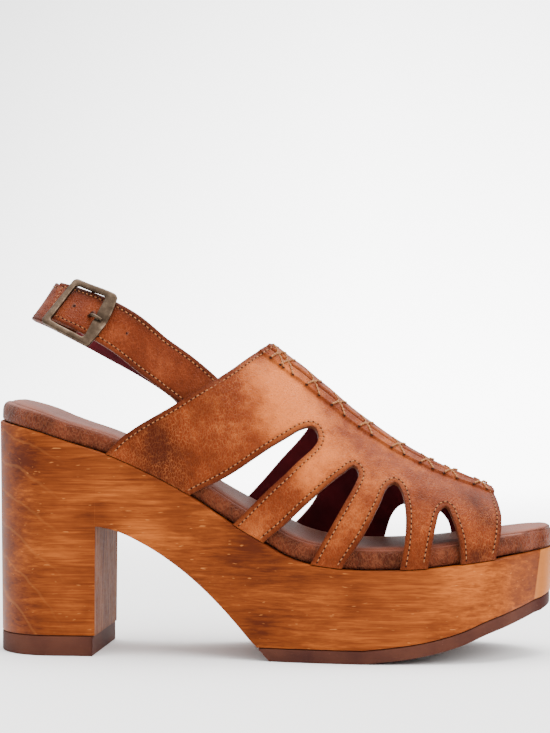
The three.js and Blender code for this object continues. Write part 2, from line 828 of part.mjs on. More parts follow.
// The strap's own axes at a distance along it: forward along it, up across it and out of it.
function strapFrame(distance) {
  const share = THREE.MathUtils.clamp(distance / strapLoop.length, 0, 1);
  const t = strapLoop.curve.getUtoTmapping(share);
  const point = strapLoop.curve.getPoint(t);
  const tangent = strapLoop.curve.getTangent(t).normalize();
  point.addScaledVector(tangent, distance - share * strapLoop.length);
  const place = t * (strapLoop.leans.length - 1);
  const row = Math.min(Math.floor(place), strapLoop.leans.length - 2);
  const lean = THREE.MathUtils.degToRad(
    THREE.MathUtils.lerp(strapLoop.leans[row], strapLoop.leans[row + 1], place - row),
  );
  const inward = tangent.clone().cross(up).normalize();
  const upright = inward.clone().cross(tangent);
  const across = upright.clone().multiplyScalar(Math.cos(lean)).addScaledVector(inward, Math.sin(lean));
  return { point, across, outward: across.clone().cross(tangent) };
}

const strapPlace = (distance, across, height) => {
  const frame = strapFrame(distance);
  return frame.point.addScaledVector(frame.across, across).addScaledVector(frame.outward, height);
};

// A solid drawn flat, as (distance from the centre bar, height, across), bent along the loop.
const buckleCentre = bucklePlace * strapLoop.length;
function bentSolid(geometry) {
  const bent = geometry.index ? geometry.toNonIndexed() : geometry.clone();
  const position = bent.attributes.position;
  for (let i = 0; i < position.count; i++) {
    const place = strapPlace(buckleCentre + position.getX(i), position.getZ(i), position.getY(i));
    position.setXYZ(i, place.x, place.y, place.z);
  }
  return solidOf(bent);
}

// A length of strap between two heights over the loop's middle line. A slant cuts its far end back
// at the lower edge, fanning out from the slant's start.
function ribbonSolid(from, to, low, high, slant = 0, slantFrom = to - strapWidth) {
  const half = strapWidth / 2;
  const line = spread(from, to, Math.round((to - from) / strapStep));
  return stackRings(line.map((along) => {
    const lower = along - slant * Math.max((along - slantFrom) / (to - slantFrom), 0);
    return [
      strapPlace(buckleCentre + lower, -half, low(lower)),
      strapPlace(buckleCentre + along, half, low(along)),
      strapPlace(buckleCentre + along, half, high(along)),
      strapPlace(buckleCentre + lower, -half, high(lower)),
    ];
  }));
}

const billetHeight = (along) =>
  readTable(billetRows, "along", "step", along / buckleLength) * strapThickness;
const frontBarFrom = -buckleLength / 2;
const frontBarTo = frontBarFrom + frontBarWidth;
const rearBarTo = buckleLength / 2;
const rearBarFrom = rearBarTo - sideBarWidth;
const buckleLow = billetHeight(frontBarTo) + strapThickness / 2 + 2 * slideGap;
const prongHole = frontBarTo + holeLength / 2;

function holePlug(along, lengthAcross, halfAcross, low, high) {
  const box = new THREE.BoxGeometry(lengthAcross, high - low, 2 * halfAcross);
  box.translate(along, (high + low) / 2, 0);
  return box;
}

// The billet: from its tuck under the outer side of the upper, through the buckle, to its cut end.
function billetSolid() {
  const half = strapThickness / 2;
  const solid = ribbonSolid(
    -buckleCentre,
    rearBarTo + billetOverhang,
    (along) => billetHeight(along) - half,
    (along) => billetHeight(along) + half,
    billetSlant,
    rearBarFrom,
  );
  const high = billetHeight(0) + strapThickness;
  const holes = [prongHole, prongHole + holePitch].map((along, i) => bentSolid(
    holePlug(along, i === 0 ? holeLength : holeWidth, holeWidth / 2, 0, high),
  ));
  return holes.reduce((cut, hole) => cut.subtract(hole), solid);
}

// The heel strap: an eye round the centre bar with its end folded under, then the band round the heel
// to its inner tuck.
function heelStrapSolid() {
  const half = strapThickness / 2;
  const eye = centreBarRadius + seatGap;
  const eyeOuter = eye + strapThickness * eyeWallShare;
  const lowEnd = -half - strapThickness * foldShare;
  const eyeShape = new THREE.Shape(spread(halfPi, 3 * halfPi, rodSides / 2).map((turn) =>
    new THREE.Vector2(eyeOuter * Math.cos(turn), -centreBarDrop + eyeOuter * Math.sin(turn))));
  eyeShape.lineTo(2 * eye, lowEnd);
  eyeShape.lineTo(2 * eye, half);
  eyeShape.holes.push(new THREE.Path().absarc(0, -centreBarDrop, eye, 0, 2 * Math.PI, true));
  const eyeBlock = new THREE.ExtrudeGeometry(eyeShape, {
    depth: strapWidth, bevelEnabled: false, curveSegments: rodSides,
  });
  eyeBlock.translate(0, 0, -strapWidth / 2);
  const bandFrom = eye + seatGap;
  const band = ribbonSolid(bandFrom, strapLoop.length - buckleCentre, () => -half, () => half);
  const fold = ribbonSolid(bandFrom, strapReturn, () => lowEnd, () => 0);
  const slotFrom = -eyeOuter - slideGap;
  const slotTo = eye + 2 * prongRadius + slideGap;
  const slot = holePlug(
    (slotFrom + slotTo) / 2, slotTo - slotFrom, prongRadius + slideGap, -centreBarDrop - 2 * eyeOuter,
    2 * eyeOuter,
  );
  return band.add(fold).add(bentSolid(eyeBlock)).subtract(bentSolid(slot));
}

// A rectangle with round corners and a bowed front, drawn with points every few millimetres so that it
// can bend.
function roundedOutline(from, to, halfAcross, radius, bow) {
  const middle = (from + to) / 2;
  const halfAlong = (to - from) / 2;
  const points = [];
  const corners = [[1, 1], [-1, 1], [-1, -1], [1, -1]];
  corners.forEach(([signAlong, signAcross], corner) => {
    spread(0, 1, roundSteps).forEach((t) => {
      const turn = (corner + t) * halfPi;
      points.push(new THREE.Vector2(
        middle + signAlong * (halfAlong - radius) + radius * Math.cos(turn),
        signAcross * (halfAcross - radius) + radius * Math.sin(turn),
      ));
    });
    if (corner % 2 === 0) {
      const ends = halfAlong - radius;
      spread(signAlong * ends, -signAlong * ends, frameSideSteps).slice(1, -1).forEach((along) => {
        points.push(new THREE.Vector2(middle + along, signAcross * halfAcross));
      });
    }
    if (corner === 1) {
      const ends = halfAcross - radius;
      spread(ends, -ends, frameFrontSteps).slice(1, -1).forEach((across) => {
        points.push(new THREE.Vector2(from - bow * (1 - (across / ends) ** 2), across));
      });
    }
  });
  return points;
}

const buckleHalfInner = strapWidth / 2 + slideGap + seatGap;
const buckleHalfOuter = buckleHalfInner + sideBarWidth;

// The buckle: a bent frame with a wide front bar, and a dropped centre bar inside the strap's eye.
function buckleSolid() {
  const shape = new THREE.Shape(
    roundedOutline(frontBarFrom, rearBarTo, buckleHalfOuter, buckleRound, frontBarBow),
  );
  shape.holes.push(new THREE.Path(
    roundedOutline(frontBarTo, rearBarFrom, buckleHalfInner, buckleRound * innerRoundShare, 0),
  ));
  const frame = new THREE.ExtrudeGeometry(shape, { depth: buckleThickness, bevelEnabled: false });
  frame.rotateX(-halfPi);
  frame.translate(0, buckleLow, 0);
  const post = sideBarWidth * postShare;
  const postMiddle = buckleHalfOuter - sideBarWidth / 2;
  const bar = new THREE.CylinderGeometry(
    centreBarRadius, centreBarRadius, 2 * postMiddle, rodSides,
  );
  bar.rotateX(halfPi);
  bar.translate(0, -centreBarDrop, 0);
  const postHalf = centreBarRadius + seatGap;
  const low = -centreBarDrop - postHalf;
  const high = buckleLow + buckleThickness / 2;
  const posts = [1, -1].map((side) => {
    const box = new THREE.BoxGeometry(2 * postHalf, high - low, post);
    box.translate(0, (high + low) / 2, side * postMiddle);
    return box;
  });
  const notch = holePlug(
    (frontBarFrom + frontBarTo) / 2, frontBarWidth * notchReach + frontBarBow, prongRadius + seatGap,
    buckleLow + buckleThickness / 2, buckleLow + 2 * buckleThickness,
  );
  const joined = [bar, ...posts].reduce((solid, piece) => solid.add(bentSolid(piece)), bentSolid(frame));
  return joined.subtract(bentSolid(notch));
}

// The prong: an open eye round the centre bar, then up through the billet's hole to the front bar.
function prongSolid() {
  const eye = centreBarRadius + seatGap + prongRadius;
  const turns = spread(-halfPi, Math.PI * eyeSweep, rodSides);
  const notchLow = buckleLow + buckleThickness / 2 + prongRadius + seatGap;
  const route = [
    ...turns.map((turn) => [eye * Math.cos(turn), -centreBarDrop + eye * Math.sin(turn)]),
    [prongHole + holeLength * prongBend, billetHeight(prongHole) - strapThickness * prongBend],
    [prongHole - holeLength * prongRise, notchLow - strapThickness * prongBend],
    [frontBarTo - frontBarWidth * prongRise / 2, notchLow + prongRadius * prongBend],
    [frontBarFrom + frontBarWidth * prongRise, notchLow],
  ].map(([along, height]) => strapPlace(buckleCentre + along, 0, height));
  const rod = new THREE.Shape();
  rod.absarc(0, 0, prongRadius, 0, 2 * Math.PI, false);
  const curve = new THREE.CatmullRomCurve3(route, false, "centripetal");
  return solidOf(new THREE.ExtrudeGeometry(rod, {
    steps: 2 * rodSides,
    curveSegments: rodSides / 4,
    extrudePath: curve,
    bevelEnabled: false,
  }));
}

const finishes = {
  wood: { color: 0xa9612e, roughness: 0.45 },
  rubber: { color: 0x4a2219, roughness: 0.7 },
  footbedLeather: { color: 0x8a5a48, roughness: 0.55 },
  upperLeather: { color: 0xb5703c, roughness: 0.42 },
  strapLeather: { color: 0xa3592e, roughness: 0.45 },
  brass: { color: 0x7d6c4c, roughness: 0.4, metalness: 1 },
};

function meshOf(name, solid, finish) {
  const { vertProperties, triVerts } = solid.getMesh();
  const geometry = new THREE.BufferGeometry();
  geometry.setAttribute("position", new THREE.BufferAttribute(new Float32Array(vertProperties), 3));
  geometry.setIndex(new THREE.BufferAttribute(new Uint32Array(triVerts), 1));
  const mesh = new THREE.Mesh(geometry, new THREE.MeshStandardMaterial(finishes[finish]));
  mesh.name = name;
  return mesh;
}

const block = platformBlock();
const last = new THREE.Group();
last.add(
  meshOf("wood_platform", woodSolid(block), "wood"),
  meshOf("heel_lift", liftSolid(block), "rubber"),
  meshOf("outsole", soleSolid(block), "rubber"),
  meshOf("insole", footbedSolid(), "footbedLeather"),
  meshOf("upper", upperSolid(), "upperLeather"),
  meshOf("strap_billet", billetSolid(), "strapLeather"),
  meshOf("strap_heel", heelStrapSolid(), "strapLeather"),
  meshOf("buckle_frame", buckleSolid(), "brass"),
  meshOf("buckle_prong", prongSolid(), "brass"),
);

// The part's origin is the middle of the floor under its box.
const box = new THREE.Box3().setFromObject(last, true);
last.position.set(-(box.min.x + box.max.x) / 2, -(box.min.y + box.max.y) / 2, -box.min.z);
const sandal = new THREE.Group();
sandal.add(last);

export default sandal;
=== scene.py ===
# A platform sandal for the right foot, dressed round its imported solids.
# Sizes are in millimetres from the back of the heel; onFrame() turns them to the frame's metres.
import math

import bmesh
import bpy
import numpy as np
from mathutils import Matrix, Vector
from mathutils.geometry import delaunay_2d_cdt


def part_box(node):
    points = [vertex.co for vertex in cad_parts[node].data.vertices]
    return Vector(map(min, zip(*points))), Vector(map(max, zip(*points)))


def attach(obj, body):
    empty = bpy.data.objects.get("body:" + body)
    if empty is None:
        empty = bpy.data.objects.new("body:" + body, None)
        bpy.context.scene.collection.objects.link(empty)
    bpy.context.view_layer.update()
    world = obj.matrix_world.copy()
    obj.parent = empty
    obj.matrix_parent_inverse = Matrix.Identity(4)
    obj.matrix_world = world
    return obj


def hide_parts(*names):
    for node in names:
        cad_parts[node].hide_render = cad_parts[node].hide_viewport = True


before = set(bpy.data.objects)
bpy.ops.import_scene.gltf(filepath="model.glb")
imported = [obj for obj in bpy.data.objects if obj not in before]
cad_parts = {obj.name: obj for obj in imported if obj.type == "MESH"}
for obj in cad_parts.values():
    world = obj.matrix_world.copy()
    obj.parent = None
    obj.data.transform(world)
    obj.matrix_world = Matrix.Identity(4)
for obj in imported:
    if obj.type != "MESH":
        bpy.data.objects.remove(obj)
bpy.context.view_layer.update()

outerSide = -1
innerSide = 1

# What the sandal is built on: the wooden platform, its treads and the last above it
shoe = {
    "length": 240, "ballWidth": 85, "heelWidth": 57, "heelArc": 27,
    "heelHeight": 99.3, "platformHeight": 38.1, "toeRise": 8.2, "toeSpring": 22,
    "liftThickness": 8.3, "soleThickness": 5.3, "heelTread": 46.2, "breastLean": 1.9,
    "breastHeight": 54.4, "archEnd": 115.6, "soleRearSlant": 4.8, "seatGap": 0.3,
    "toeArc": 222, "toeTipShare": 0.07, "toeBend": {outerSide: 0.1, innerSide: 0.45},
}
outlineForm = {
    outerSide: {
        "along": [0.208, 0.354, 0.5, 0.625, 0.717, 0.813, 0.896, 0.9375, 0.971],
        "heel": [1, 0.7, 0.3, 0, 0, 0, 0, 0, 0],
        "ball": [0, 0.26, 0.67, 0.976, 1, 0.93, 0.755, 0.57, 0.376],
    },
    innerSide: {
        "along": [0.188, 0.292, 0.396, 0.5, 0.625, 0.729, 0.813, 0.896, 0.954, 0.9875],
        "heel": [0.975, 0.8, 0.55, 0.3, 0, 0, 0, 0, 0, 0],
        "ball": [0, 0.075, 0.255, 0.54, 0.906, 0.97, 0.937, 0.8, 0.61, 0.376],
    },
}
draftForm = {"along": [0, 0.2, 0.85, 0.96, 1], "slope": [0.013, 0.01, 0.015, 0.07, 0.1]}
topForm = {
    "along": [0, 0.092, 0.146, 0.208, 0.296, 0.358, 0.433, 0.496, 0.538, 0.583, 0.671, 0.767,
              0.833, 0.892, 0.933, 1],
    "heel": [1, 0.918, 0.848, 0.771, 0.622, 0.495, 0.307, 0.167, 0.077, 0.03, 0, 0, 0, 0, 0, 0],
    "toe": [0, 0, 0, 0, 0, 0, 0, 0, 0, 0, 0, 0.09, 0.29, 0.51, 0.71, 1],
}
springForm = {
    "along": [0.665, 0.735, 0.783, 0.833, 0.881, 0.931, 1],
    "rise": [0, 0.09, 0.185, 0.335, 0.545, 0.72, 1],
}
archForm = {
    "span": [0, 0.073, 0.147, 0.262, 0.357, 0.453, 0.548, 0.635, 0.722, 0.802, 0.88, 0.959, 1],
    "rise": [1, 0.98, 0.947, 0.872, 0.799, 0.712, 0.615, 0.515, 0.404, 0.293, 0.176, 0.054, 0],
}
lastForm = {
    "along": [0.167, 0.333, 0.5, 0.54, 0.588, 0.64, 0.68, 0.715, 0.756, 0.807, 0.852, 0.879, 0.92],
    "crest": [1.156, 1.045, 1, 0.975, 0.897, 0.786, 0.705, 0.633, 0.558, 0.47, 0.396, 0.347, 0.277],
    "across": [0.9, 0.95, 1.2, 1.22, 1.25, 1.24, 1.18, 1.1, 0.98, 0.88, 0.82, 0.79, 0.77],
    "rise": [1, 1, 1, 1, 1, 1, 0.99, 0.98, 0.97, 0.955, 0.94, 0.93, 0.92],
}


def smoothCurve(keys, values):
    # A curve through the rows of a table that stays between them
    keys = np.array(keys, float)
    values = np.array(values, float)
    secants = np.diff(values) / np.diff(keys)
    slopes = np.concatenate([secants[:1], np.zeros(len(secants) - 1), secants[-1:]])
    product = secants[:-1] * secants[1:]
    total = np.where(product > 0, secants[:-1] + secants[1:], 1)
    slopes[1:-1] = np.where(product > 0, 2 * product / total, 0)

    def at(place):
        place = np.clip(np.asarray(place, float), keys[0], keys[-1])
        row = np.clip(np.searchsorted(keys, place, "right") - 1, 0, len(keys) - 2)
        span = keys[row + 1] - keys[row]
        t = (place - keys[row]) / span
        ease = t * t * (3 - 2 * t)
        leave = span * slopes[row] * t * (1 - t) ** 2
        arrive = span * slopes[row + 1] * t * t * (t - 1)
        return values[row] * (1 - ease) + values[row + 1] * ease + leave + arrive
    return at


def lengthCurve(form, column):
    curve = smoothCurve(form["along"], form[column])
    return lambda x: curve(np.asarray(x, float) / shoe["length"])


heelShare = lengthCurve(topForm, "heel")
toeShare = lengthCurve(topForm, "toe")
springShare = lengthCurve(springForm, "rise")
draftAt = lengthCurve(draftForm, "slope")
crestShare = lengthCurve(lastForm, "crest")
acrossPower = lengthCurve(lastForm, "across")
risePower = lengthCurve(lastForm, "rise")
archShare = smoothCurve(archForm["span"], archForm["rise"])


def woodTop(x):
    drop = heelShare(x) * (shoe["heelHeight"] - shoe["platformHeight"])
    return shoe["platformHeight"] + drop + toeShare(x) * shoe["toeRise"]


def soleUnder(x):
    return springShare(x) * shoe["toeSpring"]


def woodUnder(x):
    # The heel's foot, the arch, then the seat of the sole
    x = np.asarray(x, float)
    breastTop = shoe["heelTread"] + shoe["breastLean"]
    floor = shoe["soleThickness"] + shoe["seatGap"]
    span = (x - breastTop) / (shoe["archEnd"] - breastTop)
    arch = floor + archShare(np.clip(span, 0, 1)) * (shoe["breastHeight"] - floor)
    heelFoot = shoe["liftThickness"] + shoe["seatGap"]
    rear = np.where(x <= shoe["heelTread"] + 0.01, heelFoot, arch)
    return np.where(x > shoe["archEnd"], soleUnder(x) + floor, rear)


def splineLine(knots, steps):
    # A smooth line through knots
    knots = np.array(knots, float)
    place = np.linspace(0, len(knots) - 1, steps)
    at = np.minimum(place.astype(int), len(knots) - 2)
    t = (place - at)[:, None]
    before, here = knots[np.maximum(at - 1, 0)], knots[at]
    after, beyond = knots[at + 1], knots[np.minimum(at + 2, len(knots) - 1)]
    leave, arrive = (after - before) / 2, (beyond - here) / 2
    cubic = (2 * here - 2 * after + leave + arrive) * t ** 3
    return cubic + (3 * after - 3 * here - 2 * leave - arrive) * t ** 2 + leave * t + here


def outlineLine(side):
    # One side of the plan outline, finely stepped: round heel, flank and toe
    form = outlineForm[side]
    turn = np.linspace(math.pi, math.pi / 2, 60)
    heel = np.stack([shoe["heelArc"] * (1 + np.cos(turn)), shoe["heelWidth"] / 2 * np.sin(turn)], 1)
    width = np.array(form["heel"]) * shoe["heelWidth"] + np.array(form["ball"]) * shoe["ballWidth"]
    knots = np.stack([np.array(form["along"]) * shoe["length"], width / 2], 1)
    flank = splineLine(np.concatenate([heel[-1:], knots]), 400)
    corner = knots[-1]
    tip = np.array([shoe["length"], side * shoe["toeTipShare"] * shoe["ballWidth"] / 2])
    bend = np.array([shoe["length"], tip[1] + (corner[1] - tip[1]) * (1 - shoe["toeBend"][side])])
    t = np.linspace(0, 1, 80)[:, None]
    toe = corner * (1 - t) ** 2 + bend * 2 * t * (1 - t) + tip * t ** 2
    return np.concatenate([heel, flank[1:], toe[1:]])


sideLines = {side: outlineLine(side) for side in (outerSide, innerSide)}


def halfWidth(x, side):
    line = sideLines[side]
    return np.interp(x, line[:, 0], line[:, 1])


woodLow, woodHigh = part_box("wood_platform")
frameShift = np.array([woodLow.x * 1000, woodHigh.y * 1000 - sideLines[innerSide][:, 1].max(), 0])


def onFrame(points):
    return (np.asarray(points, float) + frameShift) / 1000


# Meshes, nodes and finishes

def finishMesh(bm, name, sharpAngle=38):
    bmesh.ops.recalc_face_normals(bm, faces=bm.faces)
    for face in bm.faces:
        face.smooth = True
    for edge in bm.edges:
        edge.smooth = not (edge.is_manifold and edge.calc_face_angle(0) > math.radians(sharpAngle))
    mesh = bpy.data.meshes.new(name)
    bm.to_mesh(mesh)
    bm.free()
    piece = bpy.data.objects.new(name, mesh)
    bpy.context.scene.collection.objects.link(piece)
    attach(piece, "root")
    return piece


def gridMesh(rows, closeAcross=False, closeAlong=False, fillEnds=False, weld=0.002):
    # A grid laid over rows of points, closed and filled where the piece is
    rows = np.asarray(rows, float)
    if closeAcross:
        rows = np.concatenate([rows, rows[:, :1]], 1)
    if closeAlong:
        rows = np.concatenate([rows, rows[:1]])
    points = onFrame(rows)
    bm = bmesh.new()
    bmesh.ops.create_grid(bm, x_segments=len(rows) - 1, y_segments=len(rows[0]) - 1, size=0.5)
    for vert in bm.verts:
        i = round((vert.co.x + 0.5) * (len(rows) - 1))
        j = round((vert.co.y + 0.5) * (len(rows[0]) - 1))
        vert.co = points[i, j]
    bmesh.ops.remove_doubles(bm, verts=bm.verts, dist=weld / 1000)
    if fillEnds:
        bmesh.ops.holes_fill(bm, edges=[e for e in bm.edges if e.is_boundary], sides=0)
    return bm


def edgeLoop(xFrom, xTo, step=2.2):
    # Stations round the outline between two places, straight across where it is cut
    heelArc = shoe["heelArc"]
    heel = heelArc * (1 - np.cos(np.linspace(0, math.pi / 2, 18)))
    toe = shoe["length"] - (shoe["length"] - shoe["toeArc"]) * (1 - np.linspace(0, 1, 22)) ** 2
    middle = np.arange(heelArc + step, shoe["toeArc"], step)
    breast = [shoe["heelTread"], shoe["heelTread"] + 0.3, shoe["heelTread"] + shoe["breastLean"]]
    xs = np.unique(np.concatenate([heel, middle, toe, breast, [shoe["archEnd"]]]))
    xs = np.concatenate([[xFrom], xs[(xs > xFrom + 0.02) & (xs < xTo - 0.02)], [xTo]])
    outer = np.stack([xs, -halfWidth(xs, outerSide)], 1)
    inner = np.stack([xs, halfWidth(xs, innerSide)], 1)[::-1]
    share = np.linspace(0, 1, 9)[:-1, None]
    centre = np.array([xFrom, 0])
    parts = [outer, inner[1:]]
    if xTo < shoe["length"]:
        front = np.array([xTo, 0])
        parts = [outer, outer[-1] + (front - outer[-1]) * share[1:], front[None],
                 (front + (inner[0] - front) * share)[1:], inner]
    if xFrom > 0:
        first = centre + (outer[0] - centre) * share
        last = inner[-1] + (centre - inner[-1]) * share[1:]
        loop = np.concatenate([first, *parts, last])
    else:
        loop = np.concatenate(parts)[:-1]
    tangent = np.roll(loop, -1, 0) - np.roll(loop, 1, 0)
    tangent /= np.linalg.norm(tangent, axis=1)[:, None]
    inward = np.stack([-tangent[:, 1], tangent[:, 0]], 1)
    return loop, inward


def ringAt(loop, inset, height):
    points, inward = loop
    place = points + inward * np.broadcast_to(inset, len(points))[:, None]
    return np.concatenate([place, np.broadcast_to(height, len(points))[:, None]], 1)


def towardsSpine(ring, share):
    # Draws a ring in to the shoe's middle line, each station to its opposite
    partner = ring[(-np.arange(len(ring))) % len(ring)]
    return ring + (partner - ring) * share / 2


def flatEnds(rows, steps=(0.3, 0.65, 1)):
    first = [towardsSpine(rows[0], share) for share in reversed(steps)]
    last = [towardsSpine(rows[-1], share) for share in steps]
    return first + rows + last


def addLayer(piece, name, values):
    layer = piece.data.attributes.new(name, "FLOAT", "POINT")
    layer.data.foreach_set("value", values.astype(np.float32))


def paintToneAndShading(piece, places, tones):
    # Soft spots, darker below 0 and lighter above, kept on the piece as an attribute
    total = np.zeros(len(places))
    for first, second, reach, amount in tones:
        far = np.hypot(places[:, 0] - first, places[:, 1] - second) / reach
        total += amount * np.exp(-far ** 2)
    addLayer(piece, "toneAndPaintedShading", total)


def linear(hexColour):
    parts = [int(hexColour[i:i + 2], 16) / 255 for i in (1, 3, 5)]
    return [c / 12.92 if c <= 0.04045 else ((c + 0.055) / 1.055) ** 2.4 for c in parts] + [1]


def setInputs(node, inputs):
    # Links or sets a node's inputs, in their order or by name, and turns a hex colour to linear
    for key, value in inputs.items() if isinstance(inputs, dict) else enumerate(inputs):
        if isinstance(value, bpy.types.Node):
            value = value.outputs[0]
        if isinstance(value, bpy.types.NodeSocket):
            node.id_data.links.new(value, node.inputs[key])
        else:
            node.inputs[key].default_value = linear(value) if isinstance(value, str) else value


def addNode(tree, kind, inputs=(), stops=(), **settings):
    # One node with its settings, its inputs and, on a ramp, its colour stops
    node = tree.nodes.new("ShaderNode" + kind)
    for key, value in settings.items():
        setattr(node, key, value)
    if stops:
        elements = node.color_ramp.elements
        while len(elements) < len(stops):
            elements.new(0.5)
        for element, (place, colour) in zip(elements, stops):
            element.position = place
            element.color = linear(colour)
    setInputs(node, inputs)
    return node


def newMaterial(name):
    made = bpy.data.materials.new(name)
    made.use_nodes = True
    tree = made.node_tree
    tree.nodes.clear()
    surface = addNode(tree, "BsdfPrincipled")
    addNode(tree, "OutputMaterial", {"Surface": surface})
    return made, tree, surface, addNode(tree, "TexCoord").outputs["Object"]


def spotted(tree, place, size, detail=3, rough=0.5, stretch=(1, 1, 1), distort=0):
    # Noise whose lumps are this many millimetres across
    scaled = addNode(tree, "Mapping", {"Vector": place, "Scale": [1000 / size / s for s in stretch]})
    return addNode(tree, "TexNoise", {"Vector": scaled, "Scale": 1, "Detail": detail,
                                      "Roughness": rough, "Distortion": distort})


def creased(tree, place, waves, depth, scale, turn=0):
    # The distance from a net of creases whose lines are bent by slower waves
    bend = addNode(tree, "TexNoise", {"Vector": place, "Scale": waves, "Detail": 2}).outputs["Color"]
    bent = addNode(tree, "VectorMath", [bend, (depth, depth, depth), place], operation="MULTIPLY_ADD")
    turned = addNode(tree, "Mapping", {"Vector": bent, "Rotation": (0, turn, 0), "Scale": scale})
    return addNode(tree, "TexVoronoi", {"Vector": turned, "Scale": 1}, feature="DISTANCE_TO_EDGE")


def layered(tree, base, layers):
    # Colours laid over a base one after the other, each as far as its mask goes
    for mask, colour in layers:
        base = addNode(tree, "Mix", {0: mask, 6: base, 7: colour}, data_type="RGBA").outputs[2]
    return base


def relief(tree, *layers):
    # Height maps one over the other, each with its depth in millimetres
    bump = None
    for height, depth in layers:
        inputs = {"Height": height, "Strength": 1, "Distance": depth / 1000}
        bump = addNode(tree, "Bump", {**inputs, "Normal": bump} if bump else inputs)
    return bump


def stainedWood():
    # Alder, carved, stained orange-brown and oiled: streaky grain along the shoe with pale flecks,
    # satin gloss, and a duller brown where the heel's breast shows across the grain
    # The facet colour is painted light, brightening the toe's outer facet as if it faced the lamp
    look = {"light": "#a0531f", "middle": "#6f3413", "dark": "#42180c", "fleck": "#b8733a",
            "breast": "#7b4a2c", "paintedLightFacet": "#b87238", "tint": "#f0a070", "spotPull": 0.13,
            "ringHeart": (0.16, 0.03), "ringWaver": 0.008, "ringsPerMetre": 520,
            "ringsFrom": -0.112, "ringsTo": -0.085, "facetFrom": 0.107, "facetLean": -0.13,
            "facetBlur": 0.0004, "breastTo": -0.065, "breastBlur": 0.005}
    made, tree, surface, place = newMaterial("stainedCarvedWood")
    x, y, z = addNode(tree, "SeparateXYZ", [place]).outputs
    cloud = spotted(tree, place, 22, 4, 0.6, (1.9, 1, 0.8), 0.5)
    streak = spotted(tree, place, 3.4, 5, 0.62, (9, 1, 0.5), 0.6)
    grain = spotted(tree, place, 1.1, 4, 0.7, (22, 1, 0.5), 0.3)
    fleck = spotted(tree, place, 1.1, 1, 0.5, (4.5, 1, 0.8))
    upright = spotted(tree, place, 1.3, 4, 0.6, (1, 0.8, 14), 0.3)
    stain = addNode(tree, "Math", [cloud, 0.5], operation="MULTIPLY")
    stain = addNode(tree, "Math", [streak, 0.5, stain], operation="MULTIPLY_ADD")
    # The spots attribute mixes real stain with painted shade and painted light
    toneAndShadingSpots = addNode(tree, "Attribute", attribute_name="toneAndPaintedShading").outputs["Fac"]
    stain = addNode(tree, "Math", [toneAndShadingSpots, look["spotPull"], stain], operation="MULTIPLY_ADD")
    base = addNode(tree, "ValToRGB", [stain], [(0.33, look["dark"]), (0.5, look["middle"]),
                                               (0.68, look["light"])])
    # Growth rings, seen as faint pale arcs at the back of the heel
    ringX = addNode(tree, "Math", [x, look["ringHeart"][0]], operation="ADD")
    ringZ = addNode(tree, "Math", [z, look["ringHeart"][1]], operation="ADD")
    far = addNode(tree, "Math", [ringX, ringX], operation="MULTIPLY")
    far = addNode(tree, "Math", [ringZ, ringZ, far], operation="MULTIPLY_ADD")
    far = addNode(tree, "Math", [far], operation="SQRT")
    far = addNode(tree, "Math", [cloud, look["ringWaver"], far], operation="MULTIPLY_ADD")
    far = addNode(tree, "Math", [far, look["ringsPerMetre"]], operation="MULTIPLY")
    wave = addNode(tree, "Math", [far], operation="SINE")
    atBack = addNode(tree, "MapRange", [x, look["ringsFrom"], look["ringsTo"], 0.16, 0])
    # Painted light: the toe's outer facet is painted lighter, as if it faced the lamp; and end grain on
    # the heel's breast
    facetAt = addNode(tree, "Math", [z, look["facetLean"], x], operation="MULTIPLY_ADD")
    outside = addNode(tree, "MapRange", [y, 0, -0.008, 0, 0.55])
    facetTo = look["facetFrom"] + look["facetBlur"]
    paintedLightFacet = addNode(tree, "MapRange", [facetAt, look["facetFrom"], facetTo, 0, outside])
    faceX = addNode(tree, "SeparateXYZ", [addNode(tree, "NewGeometry").outputs["Normal"]]).outputs[0]
    nearBreast = addNode(tree, "MapRange", [x, look["breastTo"] + look["breastBlur"], look["breastTo"]])
    cross = addNode(tree, "MapRange", [faceX, 0.85, 0.97, 0, nearBreast])
    endGrain = addNode(tree, "MapRange", [upright, 0.4, 0.65])
    breast = layered(tree, look["breast"], [(endGrain, look["dark"])])
    setInputs(surface, {
        "Base Color": layered(tree, base, [
            (addNode(tree, "MapRange", [grain, 0.42, 0.7, 0, 0.5]), look["dark"]),
            (addNode(tree, "MapRange", [fleck, 0.72, 0.78, 0, 0.45]), look["fleck"]),
            (addNode(tree, "MapRange", [wave, 0.93, 1, 0, atBack]), look["fleck"]),
            (paintedLightFacet, look["paintedLightFacet"]), (cross, breast)]),
        "Roughness": addNode(tree, "MapRange", [streak, 0.3, 0.7, 0.42, 0.56]),
        "Specular IOR Level": addNode(tree, "MapRange", [cross, 0, 1, 0.25, 0.02]),
        "Specular Tint": look["tint"], "Normal": relief(tree, (grain, 0.03))})
    return made


